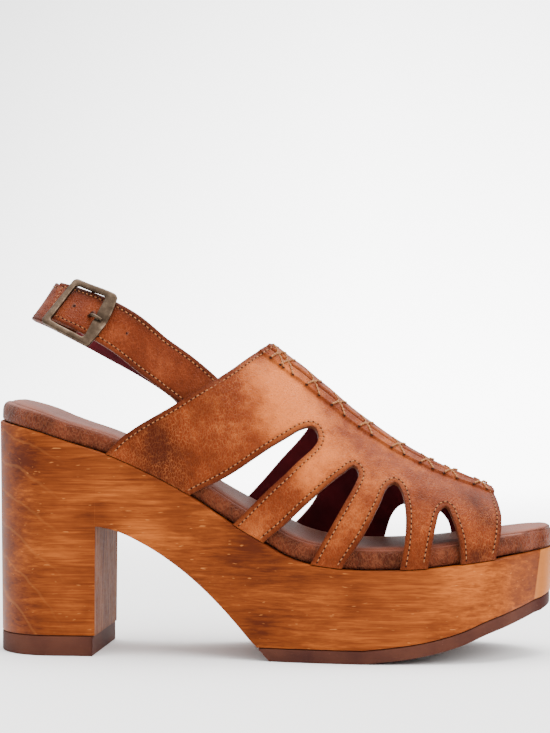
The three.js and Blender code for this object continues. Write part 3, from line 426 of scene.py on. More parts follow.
def upperLeather(name, dark, middle, light, vein):
    # Drum-dyed cowhide, burnished by hand: creased milled grain whose creases rub pale, darker cut
    # edges, and a soft wax gloss
    made, tree, surface, place = newMaterial(name)
    cloud = spotted(tree, place, 13, 4, 0.6)
    mottle = spotted(tree, place, 3.2, 4, 0.65)
    pore = spotted(tree, place, 0.8, 3, 0.6)
    cells = creased(tree, place, 330, 0.0024, (1150, 800, 520), math.radians(35))
    toneAndShadingSpots, edgeGap, seam = [addNode(tree, "Attribute", attribute_name=key).outputs["Fac"]
                            for key in ("toneAndPaintedShading", "edgeDistance", "seamShade")]
    # The dye takes in the spots attribute: a painted highlight over the mid-instep, and darker spots
    dyeAndPaintedHighlight = addNode(tree, "Math", [cloud, 0.2], operation="MULTIPLY")
    dyeAndPaintedHighlight = addNode(tree, "Math", [mottle, 0.06, dyeAndPaintedHighlight], operation="MULTIPLY_ADD")
    dyeAndPaintedHighlight = addNode(tree, "Math", [toneAndShadingSpots, 0.12, dyeAndPaintedHighlight], operation="MULTIPLY_ADD")
    base = addNode(tree, "ValToRGB", [dyeAndPaintedHighlight], [(0.03, dark), (0.125, middle), (0.24, light)])
    rubbed = addNode(tree, "MapRange", [cloud, 0.38, 0.62, 0.1, 0.42])
    setInputs(surface, {
        "Base Color": layered(tree, base, [
            (addNode(tree, "MapRange", [cells, 0, 0.09, rubbed, 0]), vein),
            (addNode(tree, "MapRange", [edgeGap, 0, 3.6, 0.8, 0]), dark),
            (addNode(tree, "Math", [seam, 0.8], operation="MULTIPLY"), dark),
            (addNode(tree, "MapRange", [pore, 0.54, 0.7, 0, 0.4]), dark)]),
        "Roughness": addNode(tree, "MapRange", [mottle, 0.3, 0.7, 0.34, 0.5]),
        "Specular IOR Level": 0.24, "Specular Tint": "#ee9462",
        "Normal": relief(tree, (addNode(tree, "MapRange", [cells, 0, 0.2]), 0.1), (pore, 0.16),
                         (mottle, 0.3))})
    return made


def footbedLeather():
    # Soft sheepskin over foam: brown and wrinkled round the side, with a painted pale pinkish sheen on
    # the faces that look up
    made, tree, surface, place = newMaterial("softFootbedLeather")
    cells = creased(tree, place, 260, 0.003, (900, 900, 380))
    wrinkle = addNode(tree, "MapRange", [cells, 0, 0.2, 1, 0])
    cloud = spotted(tree, place, 9, 3)
    base = addNode(tree, "ValToRGB", [cloud], [(0.35, "#3a150b"), (0.65, "#5e2a18")])
    rise = addNode(tree, "SeparateXYZ", [addNode(tree, "NewGeometry").outputs["Normal"]]).outputs[2]
    rubbed = addNode(tree, "MapRange", [rise, 0.5, 0.9, 0.16, 0.04])
    pressed = addNode(tree, "MapRange", [rise, 0.4, 0.9, -1, -0.3])
    pressed = addNode(tree, "Math", [wrinkle, pressed], operation="MULTIPLY")
    setInputs(surface, {
        "Base Color": layered(tree, base, [
            (addNode(tree, "Math", [wrinkle, rubbed], operation="MULTIPLY"), "#99603f"),
            # Painted sheen: faces that look up are tinted pale pink
            (addNode(tree, "MapRange", [rise, 0.72, 0.98, 0, 0.7]), "#824a38")]),
        "Roughness": 0.45, "Specular IOR Level": 0.22, "Specular Tint": "#e09a7c",
        "Sheen Weight": 0.05,
        "Normal": relief(tree, (pressed, 0.25), (spotted(tree, place, 0.8, 3), 0.06))})
    return made


def plainFinish(name, stainSize, stain, fineSize, fineDetail, depth, rough, gloss, specks=None):
    # A finish of two shades in soft stains, with a fine relief and perhaps specks where it is high
    made, tree, surface, place = newMaterial(name)
    fine = spotted(tree, place, fineSize, fineDetail)
    shade = spotted(tree, place, stainSize, 3) if stainSize else fine
    base = addNode(tree, "ValToRGB", [shade], [(0.3, stain[0]), (0.7, stain[1])])
    if specks:
        base = layered(tree, base, [(addNode(tree, "MapRange", [fine, 0.66, 0.78, 0, 0.4]), specks)])
    setInputs(surface, {"Base Color": base, "Roughness": rough, "Specular IOR Level": gloss})
    if depth:
        setInputs(surface, {"Normal": relief(tree, (fine, depth))})
    return made


def agedBrass():
    # Brushed antique brass: grey-brown tarnish, brighter where it rubs
    made, tree, surface, place = newMaterial("agedBrass")
    tarnish = spotted(tree, place, 3.5, 4, 0.6)
    brush = spotted(tree, place, 0.35, 2, 0.5, (1, 14, 1))
    setInputs(surface, {
        "Base Color": addNode(tree, "ValToRGB", [tarnish], [(0.3, "#3a2e24"), (0.52, "#4c3e32"),
                                                            (0.75, "#635344")]),
        "Metallic": 1, "Roughness": addNode(tree, "MapRange", [tarnish, 0.3, 0.7, 0.5, 0.3]),
        "Normal": relief(tree, (brush, 0.03))})
    return made


finishes = {
    "wood": stainedWood(),
    # Moulded rubber, matt dark reddish brown with fine dusty specks
    "rubber": plainFinish("mouldedBrownRubber", 22, ("#331510", "#4e2a1d"), 0.9, 3, 0.08, 0.7, 0.15,
                          "#74503f"),
    "upper": upperLeather("burnishedTanLeather", "#38120a", "#672a12", "#b8602a", "#a9663a"),
    "strap": upperLeather("burnishedStrapLeather", "#30100a", "#562111", "#8a4222", "#8f4c2c"),
    # Thin dyed goat lining, burgundy, matt
    "lining": plainFinish("burgundyLining", 18, ("#420e16", "#681a22"), 1.2, 3, 0.08, 0.7, 0.15),
    # Raw cut leather edge, dyed and burnished dark
    "edge": plainFinish("burnishedCutEdge", None, ("#3a180c", "#66341e"), 0.5, 3, 0.06, 0.55, 0.2),
    "footbed": footbedLeather(),
    # Pale waxed polyester thread
    "thread": plainFinish("waxedPaleThread", None, ("#6e3d20", "#a06c42"), 0.35, 2, 0.1, 0.6, 0.2),
    # Painted shade: the dark mouth of a needle or punched hole, laid on as a dark disc
    "hole": plainFinish("needleHoleShade", None, ("#160603", "#2c1008"), 0.6, 2, 0, 0.85, 0.1),
    "brass": agedBrass(),
}


def dress(piece, slotName, *names):
    for name in names:
        piece.data.materials.append(finishes[name])
    return piece


print("finishes ready")

# Wooden platform with its block heel
woodLook = {"edgeRound": 0.8, "footRound": 0.5, "wallSteps": 16}
# Darker and lighter spots, partly real stain and partly painted shading: painted shade at the heel's
# back, along the breast and round the arch, painted light towards the toe; along, up, reach in
# millimetres and how much
woodStainAndPaintedShading = [
    (3, 50, 9, -0.5), (14, 86, 9, -0.7), (31, 47, 13, 0.25), (46, 24, 6, -0.7), (46, 60, 7, -0.8),
    (46, 42, 6, -0.6), (15, 14, 11, -0.3), (70, 53, 13, 0.9), (90, 50, 9, 0.3), (106, 40, 12, -0.5),
    (113, 50, 8, -0.9), (128, 26, 15, -0.6), (118, 13, 9, -0.6), (150, 36, 14, -0.2),
    (160, 22, 14, 0.35), (178, 37, 10, -0.2), (177, 17, 10, 0.4), (203, 30, 13, 1.0),
    (222, 38, 9, 0.7), (222, 20, 9, 0.4),
]


def makeWood():
    loop = edgeLoop(0, shoe["length"], 1.6)
    x = loop[0][:, 0]
    low, high = woodUnder(x), woodTop(x)
    foot, edge = woodLook["footRound"], woodLook["edgeRound"]
    lean = draftAt(x)
    rows = [ringAt(loop, lean * (high - low) + foot, low)]
    rows.append(ringAt(loop, lean * (high - low) + foot * 0.3, low + foot * 0.3))
    for share in np.linspace(0, 1, woodLook["wallSteps"]):
        z = low + foot + (high - edge - low - foot) * share
        rows.append(ringAt(loop, lean * (high - z), z))
    rows.append(ringAt(loop, edge * 0.3, high - edge * 0.3))
    rows.append(ringAt(loop, edge, high))
    piece = finishMesh(gridMesh(flatEnds(rows), closeAcross=True), "woodPlatform", 30)
    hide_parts("wood_platform")
    points = np.array([v.co for v in piece.data.vertices]) * 1000 - frameShift
    paintToneAndShading(piece, points[:, [0, 2]], woodStainAndPaintedShading)
    return dress(piece, "wood", "wood")


makeWood()

# Heel lift and forefoot sole
treadLook = {"edgeRound": 0.6, "slantReach": 12}


def treadEdge(thick):
    # Rounded at the ground and eased under the wood: how far in, how high
    edge = treadLook["edgeRound"]
    return [(edge, 0), (edge * 0.3, edge * 0.3), (0, edge), (0, thick - edge * 0.4),
            (edge * 0.4, thick)]


def makeLift():
    loop = edgeLoop(0, shoe["heelTread"])
    x = loop[0][:, 0]
    inset = draftAt(x) * (woodTop(x) - shoe["liftThickness"] / 2)
    rows = [ringAt(loop, inset + extra, z) for extra, z in treadEdge(shoe["liftThickness"])]
    piece = finishMesh(gridMesh(flatEnds(rows), closeAcross=True), "heelLift", 30)
    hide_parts("heel_lift")
    return dress(piece, "rubber", "rubber")


def makeSole():
    loop = edgeLoop(shoe["archEnd"], shoe["length"])
    x = loop[0][:, 0]
    inset = draftAt(x) * (woodTop(x) - soleUnder(x))
    thick = shoe["soleThickness"]
    rows = []
    for extra, z in treadEdge(thick):
        ring = ringAt(loop, inset + extra, soleUnder(x) + z)
        near = np.clip(1 - (x - shoe["archEnd"]) / treadLook["slantReach"], 0, 1)
        ring[:, 0] += near * shoe["soleRearSlant"] * (1 - z / thick)
        rows.append(ring)
    piece = finishMesh(gridMesh(flatEnds(rows), closeAcross=True), "forefootSole", 30)
    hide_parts("outsole")
    return dress(piece, "rubber", "rubber")


makeLift()
makeSole()
print("wood and treads made")

# The last under the upper
upperLook = {
    "wall": 2.2, "inset": 0.4, "vampHeight": 83.7, "crestShift": 5, "meshStep": 1.35,
    "seamHalf": 5, "seamRaise": 1, "seamStep": 0.8, "grooveHalf": 0.6, "grooveDepth": 0.9,
    "lipPlace": 1.7, "lipHalf": 1, "lipRaise": 0.45, "edgeRound": 0.45, "roundUnit": 58,
    "seamFrom": 112, "fieldFrom": 40, "fieldTo": 220,
    # The strap's tucked end under the quarter, from and to in the flat pattern
    "tuckFrom": (86.5, 15.8), "tuckTo": (100.5, 23.8), "tuckHalf": 2.6, "tuckFade": 0.9,
    "tuckRaise": 0.35,
    "creaseRaise": 0.09, "creasePlace": 9, "creaseReach": 6, "creaseSide": 0.35,
    # How dark the groove, the foot of the seam band and the tucked end are
    "grooveShade": 1, "grooveReach": 0.75, "bandShade": 0.45, "bandPlace": 0.6, "bandReach": 0.7,
    "tuckShade": 0.4,
}


def signedPower(value, power):
    return np.sign(value) * np.abs(value) ** power


def lastPoint(x, around):
    # Around runs from 0 at the outer base over 1 at the crest to 2 at the inner base
    x = np.asarray(x, float)
    around = np.asarray(around, float)
    outer = around <= 1
    turn = np.where(outer, around, 2 - around) * math.pi / 2
    half = np.where(outer, halfWidth(x, outerSide), halfWidth(x, innerSide))
    reach = np.where(outer, outerSide, innerSide) * (half - upperLook["inset"])
    reach = reach - upperLook["crestShift"]
    y = upperLook["crestShift"] + reach * signedPower(np.cos(turn), acrossPower(x))
    rise = crestShare(x) * upperLook["vampHeight"]
    z = woodTop(x) + shoe["seatGap"] + rise * signedPower(np.sin(turn), risePower(x))
    return np.stack(np.broadcast_arrays(x, y, z), -1)


def lastNormal(x, around):
    along = lastPoint(x + 0.5, around) - lastPoint(x - 0.5, around)
    across = lastPoint(x, around + 0.01) - lastPoint(x, around - 0.01)
    normal = np.cross(along, across)
    return normal / np.linalg.norm(normal, axis=-1, keepdims=True)


def overLast(x, around, height):
    place = lastPoint(x, around) + lastNormal(x, around) * np.asarray(height)[..., None]
    place[..., 2] = np.maximum(place[..., 2], woodTop(place[..., 0]) + shoe["seatGap"])
    return place


# Lighter and darker spots on the upper, along, round, reach and how much: the lighter ones over the
# mid-instep are a painted highlight, the darker ones lie low along the base and towards the toe
upperToneAndPaintedHighlight = [
    (70, 0.07, 13, -0.6), (80, 0.04, 9, -0.4), (100, 0.2, 9, -0.2), (103, 0.5, 7, -0.4),
    (117, 0.52, 10, 0.35), (128, 0.57, 11, 0.9), (125, 0.66, 7, 0.6),
    (117, 0.75, 6, -0.2), (141, 0.48, 9, 0.7), (137, 0.32, 7, 0.5), (154, 0.43, 8, 0.3),
    (108, 0.08, 8, 0.1), (129, 0.22, 8, -0.2), (172, 0.62, 9, 0.25), (187, 0.58, 9, -0.2),
    (183, 0.34, 7, -0.1), (204, 0.53, 8, -0.5), (212, 0.37, 7, -0.7), (208, 0.04, 8, -0.7),
    (186, 0.05, 7, -0.3), (160, 0.08, 7, -0.2),
]


rearForm = {
    "around": [0, 0.06, 0.12, 0.19, 0.26, 0.35, 0.45, 0.57, 0.72, 0.8, 1],
    "along": [0.2125, 0.2376, 0.267, 0.303, 0.336, 0.3722, 0.4066, 0.44, 0.471, 0.4835, 0.499],
}
toeForm = {
    "around": [0, 0.04, 0.17, 0.32, 0.43, 0.54, 0.67, 0.8, 1],
    "along": [0.891, 0.894, 0.899, 0.902, 0.9025, 0.9, 0.896, 0.891, 0.883],
}
seamForm = {"along": [0.48, 0.7, 0.82, 0.9], "around": [0.81, 0.79, 0.81, 0.88]}
rearShare = smoothCurve(rearForm["around"], rearForm["along"])
frontShare = smoothCurve(toeForm["around"], toeForm["along"])
seamAround = lengthCurve(seamForm, "around")


def fromBase(around):
    return np.where(np.asarray(around) <= 1, around, 2 - np.asarray(around))


def rearEdge(around):
    return rearShare(fromBase(around)) * shoe["length"]


def toeEdge(around):
    return frontShare(fromBase(around)) * shoe["length"]


cutForm = {
    outerSide: [
        {"tip": (0.578, 0.528), "around": [0, 0.15, 0.3, 0.42, 0.49],
         "rear": [0.362, 0.4333, 0.494, 0.5365, 0.5605],
         "front": [0.4396, 0.492, 0.541, 0.576, 0.5865]},
        {"tip": (0.6495, 0.46), "around": [0, 0.15, 0.3, 0.4, 0.44],
         "rear": [0.493, 0.549, 0.602, 0.632, 0.642],
         "front": [0.5755, 0.611, 0.6405, 0.6555, 0.6565]},
        {"tip": (0.7215, 0.473), "around": [0, 0.15, 0.3, 0.4, 0.445],
         "rear": [0.629, 0.6667, 0.692, 0.7035, 0.7115],
         "front": [0.729, 0.7375, 0.739, 0.7345, 0.7295]},
        {"tip": (0.8075, 0.42), "around": [0, 0.15, 0.27, 0.35, 0.395],
         "rear": [0.776, 0.784, 0.7905, 0.7955, 0.801],
         "front": [0.833, 0.831, 0.824, 0.8175, 0.8135]},
    ],
    innerSide: [
        {"tip": (0.549, 0.528), "around": [0, 0.15, 0.3, 0.42, 0.49],
         "rear": [0.326, 0.398, 0.458, 0.502, 0.529], "front": [0.418, 0.468, 0.512, 0.5435, 0.556]},
        {"tip": (0.598, 0.42), "around": [0, 0.15, 0.27, 0.35, 0.395],
         "rear": [0.447, 0.503, 0.543, 0.567, 0.5815], "front": [0.502, 0.555, 0.58, 0.5925, 0.599]},
        {"tip": (0.672, 0.4), "around": [0, 0.15, 0.26, 0.33, 0.375],
         "rear": [0.572, 0.618, 0.64, 0.65, 0.655], "front": [0.607, 0.65, 0.668, 0.675, 0.6765]},
        {"tip": (0.734, 0.3), "around": [0, 0.1, 0.2, 0.27],
         "rear": [0.683, 0.6935, 0.7045, 0.719], "front": [0.737, 0.742, 0.744, 0.7415]},
        {"tip": (0.794, 0.305), "around": [0, 0.1, 0.2, 0.27],
         "rear": [0.765, 0.77, 0.777, 0.784], "front": [0.818, 0.819, 0.8152, 0.8055]},
    ],
}


def evenly(line, step):
    # The same line with its points this far apart, in the flat pattern's own measure
    gaps = np.linalg.norm(np.diff(line, axis=0), axis=1)
    length = np.concatenate([[0], np.cumsum(gaps)])
    count = max(2, round(length[-1] / step))
    at = np.linspace(0, length[-1], count + 1)
    return np.stack([np.interp(at, length, line[:, k]) for k in range(line.shape[1])], 1)


def patternPlace(x, around):
    # The flat pattern of the upper: millimetres along, and round in units of about a millimetre
    return np.stack(np.broadcast_arrays(x, np.asarray(around) * upperLook["roundUnit"]), -1)


def cutLine(cut, side):
    # From the base up the rear edge, round the tip and down the front edge, in the flat pattern
    rows = list(zip(cut["around"], cut["rear"], cut["front"]))
    knots = [(rear * shoe["length"], around) for around, rear, _ in rows]
    knots.append((cut["tip"][0] * shoe["length"], cut["tip"][1]))
    knots += [(front * shoe["length"], around) for around, _, front in reversed(rows)]
    line = splineLine(knots, 90)
    line[:, 1] = np.where(side == outerSide, line[:, 1], 2 - line[:, 1])
    return evenly(patternPlace(line[:, 0], line[:, 1]), upperLook["meshStep"])


def patternOutline():
    # Once round the flat pattern: outer base with its cut-outs, toe edge, inner base, rear edge
    step = upperLook["meshStep"]
    parts = []
    x = float(rearEdge(0))
    for cut in cutForm[outerSide]:
        line = cutLine(cut, outerSide)
        parts.append(evenly(np.array([[x, 0], line[0]]), step)[:-1])
        parts.append(line[:-1])
        x = line[-1, 0]
    parts.append(evenly(np.array([[x, 0], [float(toeEdge(0)), 0]]), step)[:-1])
    around = np.linspace(0, 2, 200)
    parts.append(evenly(patternPlace(toeEdge(around), around), step)[:-1])
    top = 2 * upperLook["roundUnit"]
    x = float(toeEdge(2))
    for cut in reversed(cutForm[innerSide]):
        line = cutLine(cut, innerSide)[::-1]
        parts.append(evenly(np.array([[x, top], line[0]]), step)[:-1])
        parts.append(line[:-1])
        x = line[-1, 0]
    parts.append(evenly(np.array([[x, top], [float(rearEdge(2)), top]]), step)[:-1])
    parts.append(evenly(patternPlace(rearEdge(around), around)[::-1], step)[:-1])
    return np.concatenate(parts)


def roundLength(x, around):
    # Millimetres of leather for one unit of around
    ends = lastPoint(x, around + 0.02) - lastPoint(x, around - 0.02)
    return np.linalg.norm(ends, axis=-1) / 0.04


def seamOffset(x, around):
    return (around - seamAround(x)) * roundLength(x, seamAround(x))


def seamHeight(offset):
    # A raised band with two folded lips along the groove in its middle
    look = upperLook
    rise = np.clip((look["seamHalf"] + look["seamStep"] - np.abs(offset)) / look["seamStep"], 0, 1)
    rise = rise * rise * (3 - 2 * rise)
    groove = np.exp(-(offset / look["grooveHalf"]) ** 2) * look["grooveDepth"]
    lips = np.exp(-((np.abs(offset) - look["lipPlace"]) / look["lipHalf"]) ** 2) * look["lipRaise"]
    return rise * look["seamRaise"] + lips - groove


def insideOutline(points, outline):
    # Which points lie inside a closed outline
    x, y = points[:, 0, None], points[:, 1, None]
    x0, y0 = outline[:, 0], outline[:, 1]
    x1, y1 = np.roll(x0, -1), np.roll(y0, -1)
    crosses = (y0 > y) != (y1 > y)
    at = x0 + (y - y0) * (x1 - x0) / np.where(y1 == y0, 1e-9, y1 - y0)
    return (crosses & (x < at)).sum(1) % 2 == 1


def nearestOn(points, line):
    # Distance from each point to the closest point of a line
    best = np.full(len(points), 1e9)
    for start in range(0, len(line), 60):
        part = line[start:start + 60]
        gap = np.linalg.norm(points[:, None] - part[None], axis=-1).min(1)
        best = np.minimum(best, gap)
    return best


def tuckPress(x, around):
    # Where the strap's tucked end shows through the quarter as a low patch
    look = upperLook
    start = np.array(look["tuckFrom"])
    run = np.array(look["tuckTo"]) - start
    away = patternPlace(x, around) - start
    share = (away @ run) / (run @ run)
    aside = np.abs(away @ np.array([-run[1], run[0]])) / np.linalg.norm(run)
    beyond = np.maximum(np.abs(share - 0.5) - 0.5, 0) * np.linalg.norm(run)
    return np.clip(1 - (np.maximum(aside - look["tuckHalf"], 0) + beyond) / look["tuckFade"], 0, 1)


def upperHeight(x, around):
    # Seam band, the tucked strap's patch, and the creases that walking presses in near the toe edge
    look = upperLook
    height = seamHeight(seamOffset(x, around)) + look["tuckRaise"] * tuckPress(x, around)
    fromToe = toeEdge(around) - x
    crease = np.sin(fromToe * 1.1 + 1.3 * np.sin(around * 9))
    near = np.exp(-((fromToe - look["creasePlace"]) / look["creaseReach"]) ** 2)
    side = np.clip(1 - np.abs(fromBase(around) - look["creaseSide"]) / look["creaseSide"], 0, 1)
    return height + look["creaseRaise"] * crease * near * side


def patternMesh(outline):
    # The flat pattern's places and triangles: its outline, rows along the seam, and a field between
    look = upperLook
    step = look["meshStep"]
    xs = np.arange(look["fieldFrom"], look["fieldTo"], step)
    ys = np.arange(0, 2 * look["roundUnit"], step * 0.8)
    field = np.array([(x + (k % 2) * step / 2, y) for k, y in enumerate(ys) for x in xs])
    field = field[insideOutline(field, outline)]
    seamRows = []
    band = [look["seamHalf"] + look["seamStep"] * share for share in (0, 0.5, 1)]
    aside = [0.6, 1.1, 1.8, 2.6, *band]
    for offset in [-o for o in reversed(aside)] + [0] + aside:
        x = np.arange(look["seamFrom"], look["fieldTo"], step)
        around = seamAround(x) + offset / roundLength(x, seamAround(x))
        seamRows.append(patternPlace(x, around))
    seamRows = np.concatenate(seamRows)
    seamRows = seamRows[insideOutline(seamRows, outline)]
    seamRows = seamRows[nearestOn(seamRows, outline) > step * 0.45]
    field = field[nearestOn(field, outline) > step * 0.6]
    field = field[nearestOn(field, seamRows) > step * 0.45]
    points = np.concatenate([outline, seamRows, field])
    edges = [(i, (i + 1) % len(outline)) for i in range(len(outline))]
    flat = delaunay_2d_cdt([Vector(p) for p in points], edges, [], 0, 1e-6, False)
    places = np.array([tuple(v) for v in flat[0]])
    faces = np.array([f for f in flat[2] if len(f) == 3])
    return places, faces[insideOutline(places[faces].mean(1), outline)]


def seamShadeAt(x, around):
    look = upperLook
    offset = seamOffset(x, around)
    foot = (np.abs(offset) - look["seamHalf"] - look["bandPlace"]) / look["bandReach"]
    shade = look["grooveShade"] * np.exp(-(offset / look["grooveReach"]) ** 2)
    shade = (shade + look["bandShade"] * np.exp(-foot ** 2)) * (x > look["seamFrom"])
    return shade + look["tuckShade"] * tuckPress(x, around)


def makeUpper():
    look = upperLook
    outline = patternOutline()
    places, faces = patternMesh(outline)
    x = places[:, 0]
    around = places[:, 1] / look["roundUnit"]
    skin = overLast(x, around, upperHeight(x, around))
    edgePoints = lastPoint(outline[:, 0], outline[:, 1] / look["roundUnit"])
    openEdge = edgePoints[edgePoints[:, 2] > woodTop(edgePoints[:, 0]) + 1.2]
    distance = nearestOn(skin, openEdge)
    bm = bmesh.new()
    layer = bm.verts.layers.float.new("edgeDistance")
    verts = [bm.verts.new(p) for p in onFrame(skin)]
    for vert, far in zip(verts, distance):
        vert[layer] = far
    for face in faces:
        bm.faces.new([verts[i] for i in face])
    kept = [k for k, v in enumerate(verts) if v.link_faces]
    loose = [v for v in bm.verts if not v.link_faces]
    bmesh.ops.delete(bm, geom=loose, context="VERTS")
    piece = finishMesh(bm, "cutOutUpper", 60)
    paintToneAndShading(piece, places[kept], [(along, turn * look["roundUnit"], reach, amount)
                                    for along, turn, reach, amount in upperToneAndPaintedHighlight])
    addLayer(piece, "seamShade", seamShadeAt(x[kept], around[kept]))
    up = sum(p.normal.z for p in piece.data.polygons)
    if up < 0:
        piece.data.flip_normals()
    wall = piece.modifiers.new("wall", "SOLIDIFY")
    wall.thickness = look["wall"] / 1000
    wall.offset = -1
    wall.material_offset = 1
    wall.material_offset_rim = 2
    rounded = piece.modifiers.new("rounded", "BEVEL")
    rounded.width = look["edgeRound"] / 1000
    rounded.segments = 2
    rounded.limit_method = "ANGLE"
    rounded.angle_limit = math.radians(50)
    rounded.material = -1
    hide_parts("upper")
    return dress(piece, "upper_leather", "upper", "lining", "edge")


upperPiece = makeUpper()
print("upper made", len(upperPiece.data.polygons))

# Padded footbed
footbedLook = {"thickness": 8.6, "reveal": 1, "slideGap": 0.6, "dish": 0.8, "dishReach": 25,
               "toeFrom": 218, "toeReach": 18, "toeShare": 0.6, "weld": 0.22, "fill": 0.7}
insideForm = {"along": [0.12, 0.19, 0.905, 0.95], "inside": [0, 1, 1, 0]}
insideShare = lengthCurve(insideForm, "inside")


def aroundAt(x, z):
    rise = crestShare(x) * upperLook["vampHeight"]
    level = np.clip((z - woodTop(x) - shoe["seatGap"]) / rise, 0, 1)
    return np.arcsin(level ** (1 / risePower(x))) / (math.pi / 2)


def makeFootbed():
    look = footbedLook
    loop = edgeLoop(0, shoe["length"], 1.6)
    x = loop[0][:, 0]
    base = woodTop(x) + shoe["seatGap"]
    under = np.clip(x, rearEdge(0), toeEdge(0))
    around = aroundAt(under, woodTop(under) + shoe["seatGap"] + look["thickness"])
    leanIn = halfWidth(under, outerSide) - np.abs(lastPoint(under, around)[:, 1])
    tucked = leanIn + upperLook["wall"] + look["slideGap"]
    inset = look["reveal"] + (tucked - look["reveal"]) * insideShare(x)
    # Out from the welt, up the soft side, over the lip, down the sewn groove and on to the crown
    section = [(0.7, 0), (0.15, 0.5), (0, 1.4), (0.05, 3), (0.1, 4.6), (0.45, 6.1), (1.2, 7.3),
               (2.3, 7.9), (3.1, 7.85), (3.5, 7.45), (3.9, 7.8), (4.8, 8.25), (6.5, 8.5), (9, 8.6)]
    atToe = np.clip((x - look["toeFrom"]) / look["toeReach"], 0, 1) * look["toeShare"]
    rows = [ringAt(loop, inset + extra * (1 - atToe * (extra > 3)), base + z) for extra, z in section]
    crown = rows[-1]
    reach = np.linalg.norm(crown - towardsSpine(crown, 1), axis=1)
    dish = look["dish"] * np.clip(reach / look["dishReach"], 0, 1) ** 2
    for share in (0.25, 0.5, 0.75, 1):
        ring = towardsSpine(crown, share)
        ring[:, 2] -= dish * math.sin(share * math.pi / 2)
        rows.append(ring)
    for share in (0.5, 1):
        rows.insert(0, towardsSpine(rows[0], share))
    piece = finishMesh(gridMesh(rows, closeAcross=True, weld=look["weld"]), "paddedFootbed", 120)
    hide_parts("insole")
    dress(piece, "footbed_leather", "footbed")
    return piece


makeFootbed()
print("footbed made")

# Strap loop round the heel, from its tuck under the outer side to its tuck under the inner side
strapLook = {
    "width": 19.2, "thickness": 2.4, "tuck": 13, "ease": 3,
    "reach": 68, "rise": 38.5, "loopWidth": 51, "bucklePlace": 0.363,
    "step": 1.3, "billetOverhang": 6, "billetSlant": 5.5,
    "billetRise": 1.5, "fanDrop": 0.75, "holePitch": 8.4, "cutRound": 0.35, "endGap": 0.2,
}
buckleLook = {
    "length": 22.5, "frontBar": 4, "bow": 1.4, "sideBar": 2.7, "thickness": 1.8, "round": 2,
    "barRadius": 1, "barDrop": 0.6, "prongRadius": 0.8, "slideGap": 0.6, "holeFrom": 2.8,
    "eyeGap": 0.3, "barPast": 0.3,
    "postAlong": 0.6, "postAcross": 0.5, "notchHalf": 1.1, "notchDepth": 0.5,
}
loopForm = [
    {"back": 0.15, "across": -0.805, "rise": 0.221, "lean": 8},
    {"back": 0.367, "across": -0.948, "rise": 0.494, "lean": 11},
    {"back": 0.59, "across": -0.895, "rise": 0.721, "lean": 22},
    {"back": 0.795, "across": -0.78, "rise": 0.861, "lean": 36},
    {"back": 0.977, "across": -0.57, "rise": 0.996, "lean": 41},
    {"back": 1.014, "across": -0.104, "rise": 1.011, "lean": 25},
    {"back": 0.965, "across": 0.387, "rise": 0.951, "lean": 22},
    {"back": 0.833, "across": 0.767, "rise": 0.812, "lean": 21},
    {"back": 0.628, "across": 0.934, "rise": 0.6, "lean": 20},
    {"back": 0.383, "across": 0.894, "rise": 0.346, "lean": 20},
    {"back": 0.163, "across": 0.715, "rise": 0.073, "lean": 17},
]
exitAround = {outerSide: 0.366, innerSide: 0.3}
tuckSlope = {outerSide: 0.78, innerSide: 0.6}
billetForm = {
    "along": [-1.5, -0.62, -0.3, 0, 0.25, 0.6, 1.2],
    "step": [0, 1.14, 1.24, 1.5, 1.36, 1.22, 1.2],
}
billetSteps = smoothCurve(billetForm["along"], billetForm["step"])


def insideUpper(x, z, side):
    around = aroundAt(x, z)
    around = around if side == outerSide else 2 - around
    depth = upperLook["wall"] + strapLook["ease"] + strapLook["thickness"] / 2
    return lastPoint(x, around) - lastNormal(x, around) * depth


def unit(vector):
    return vector / np.linalg.norm(vector, axis=-1, keepdims=True)


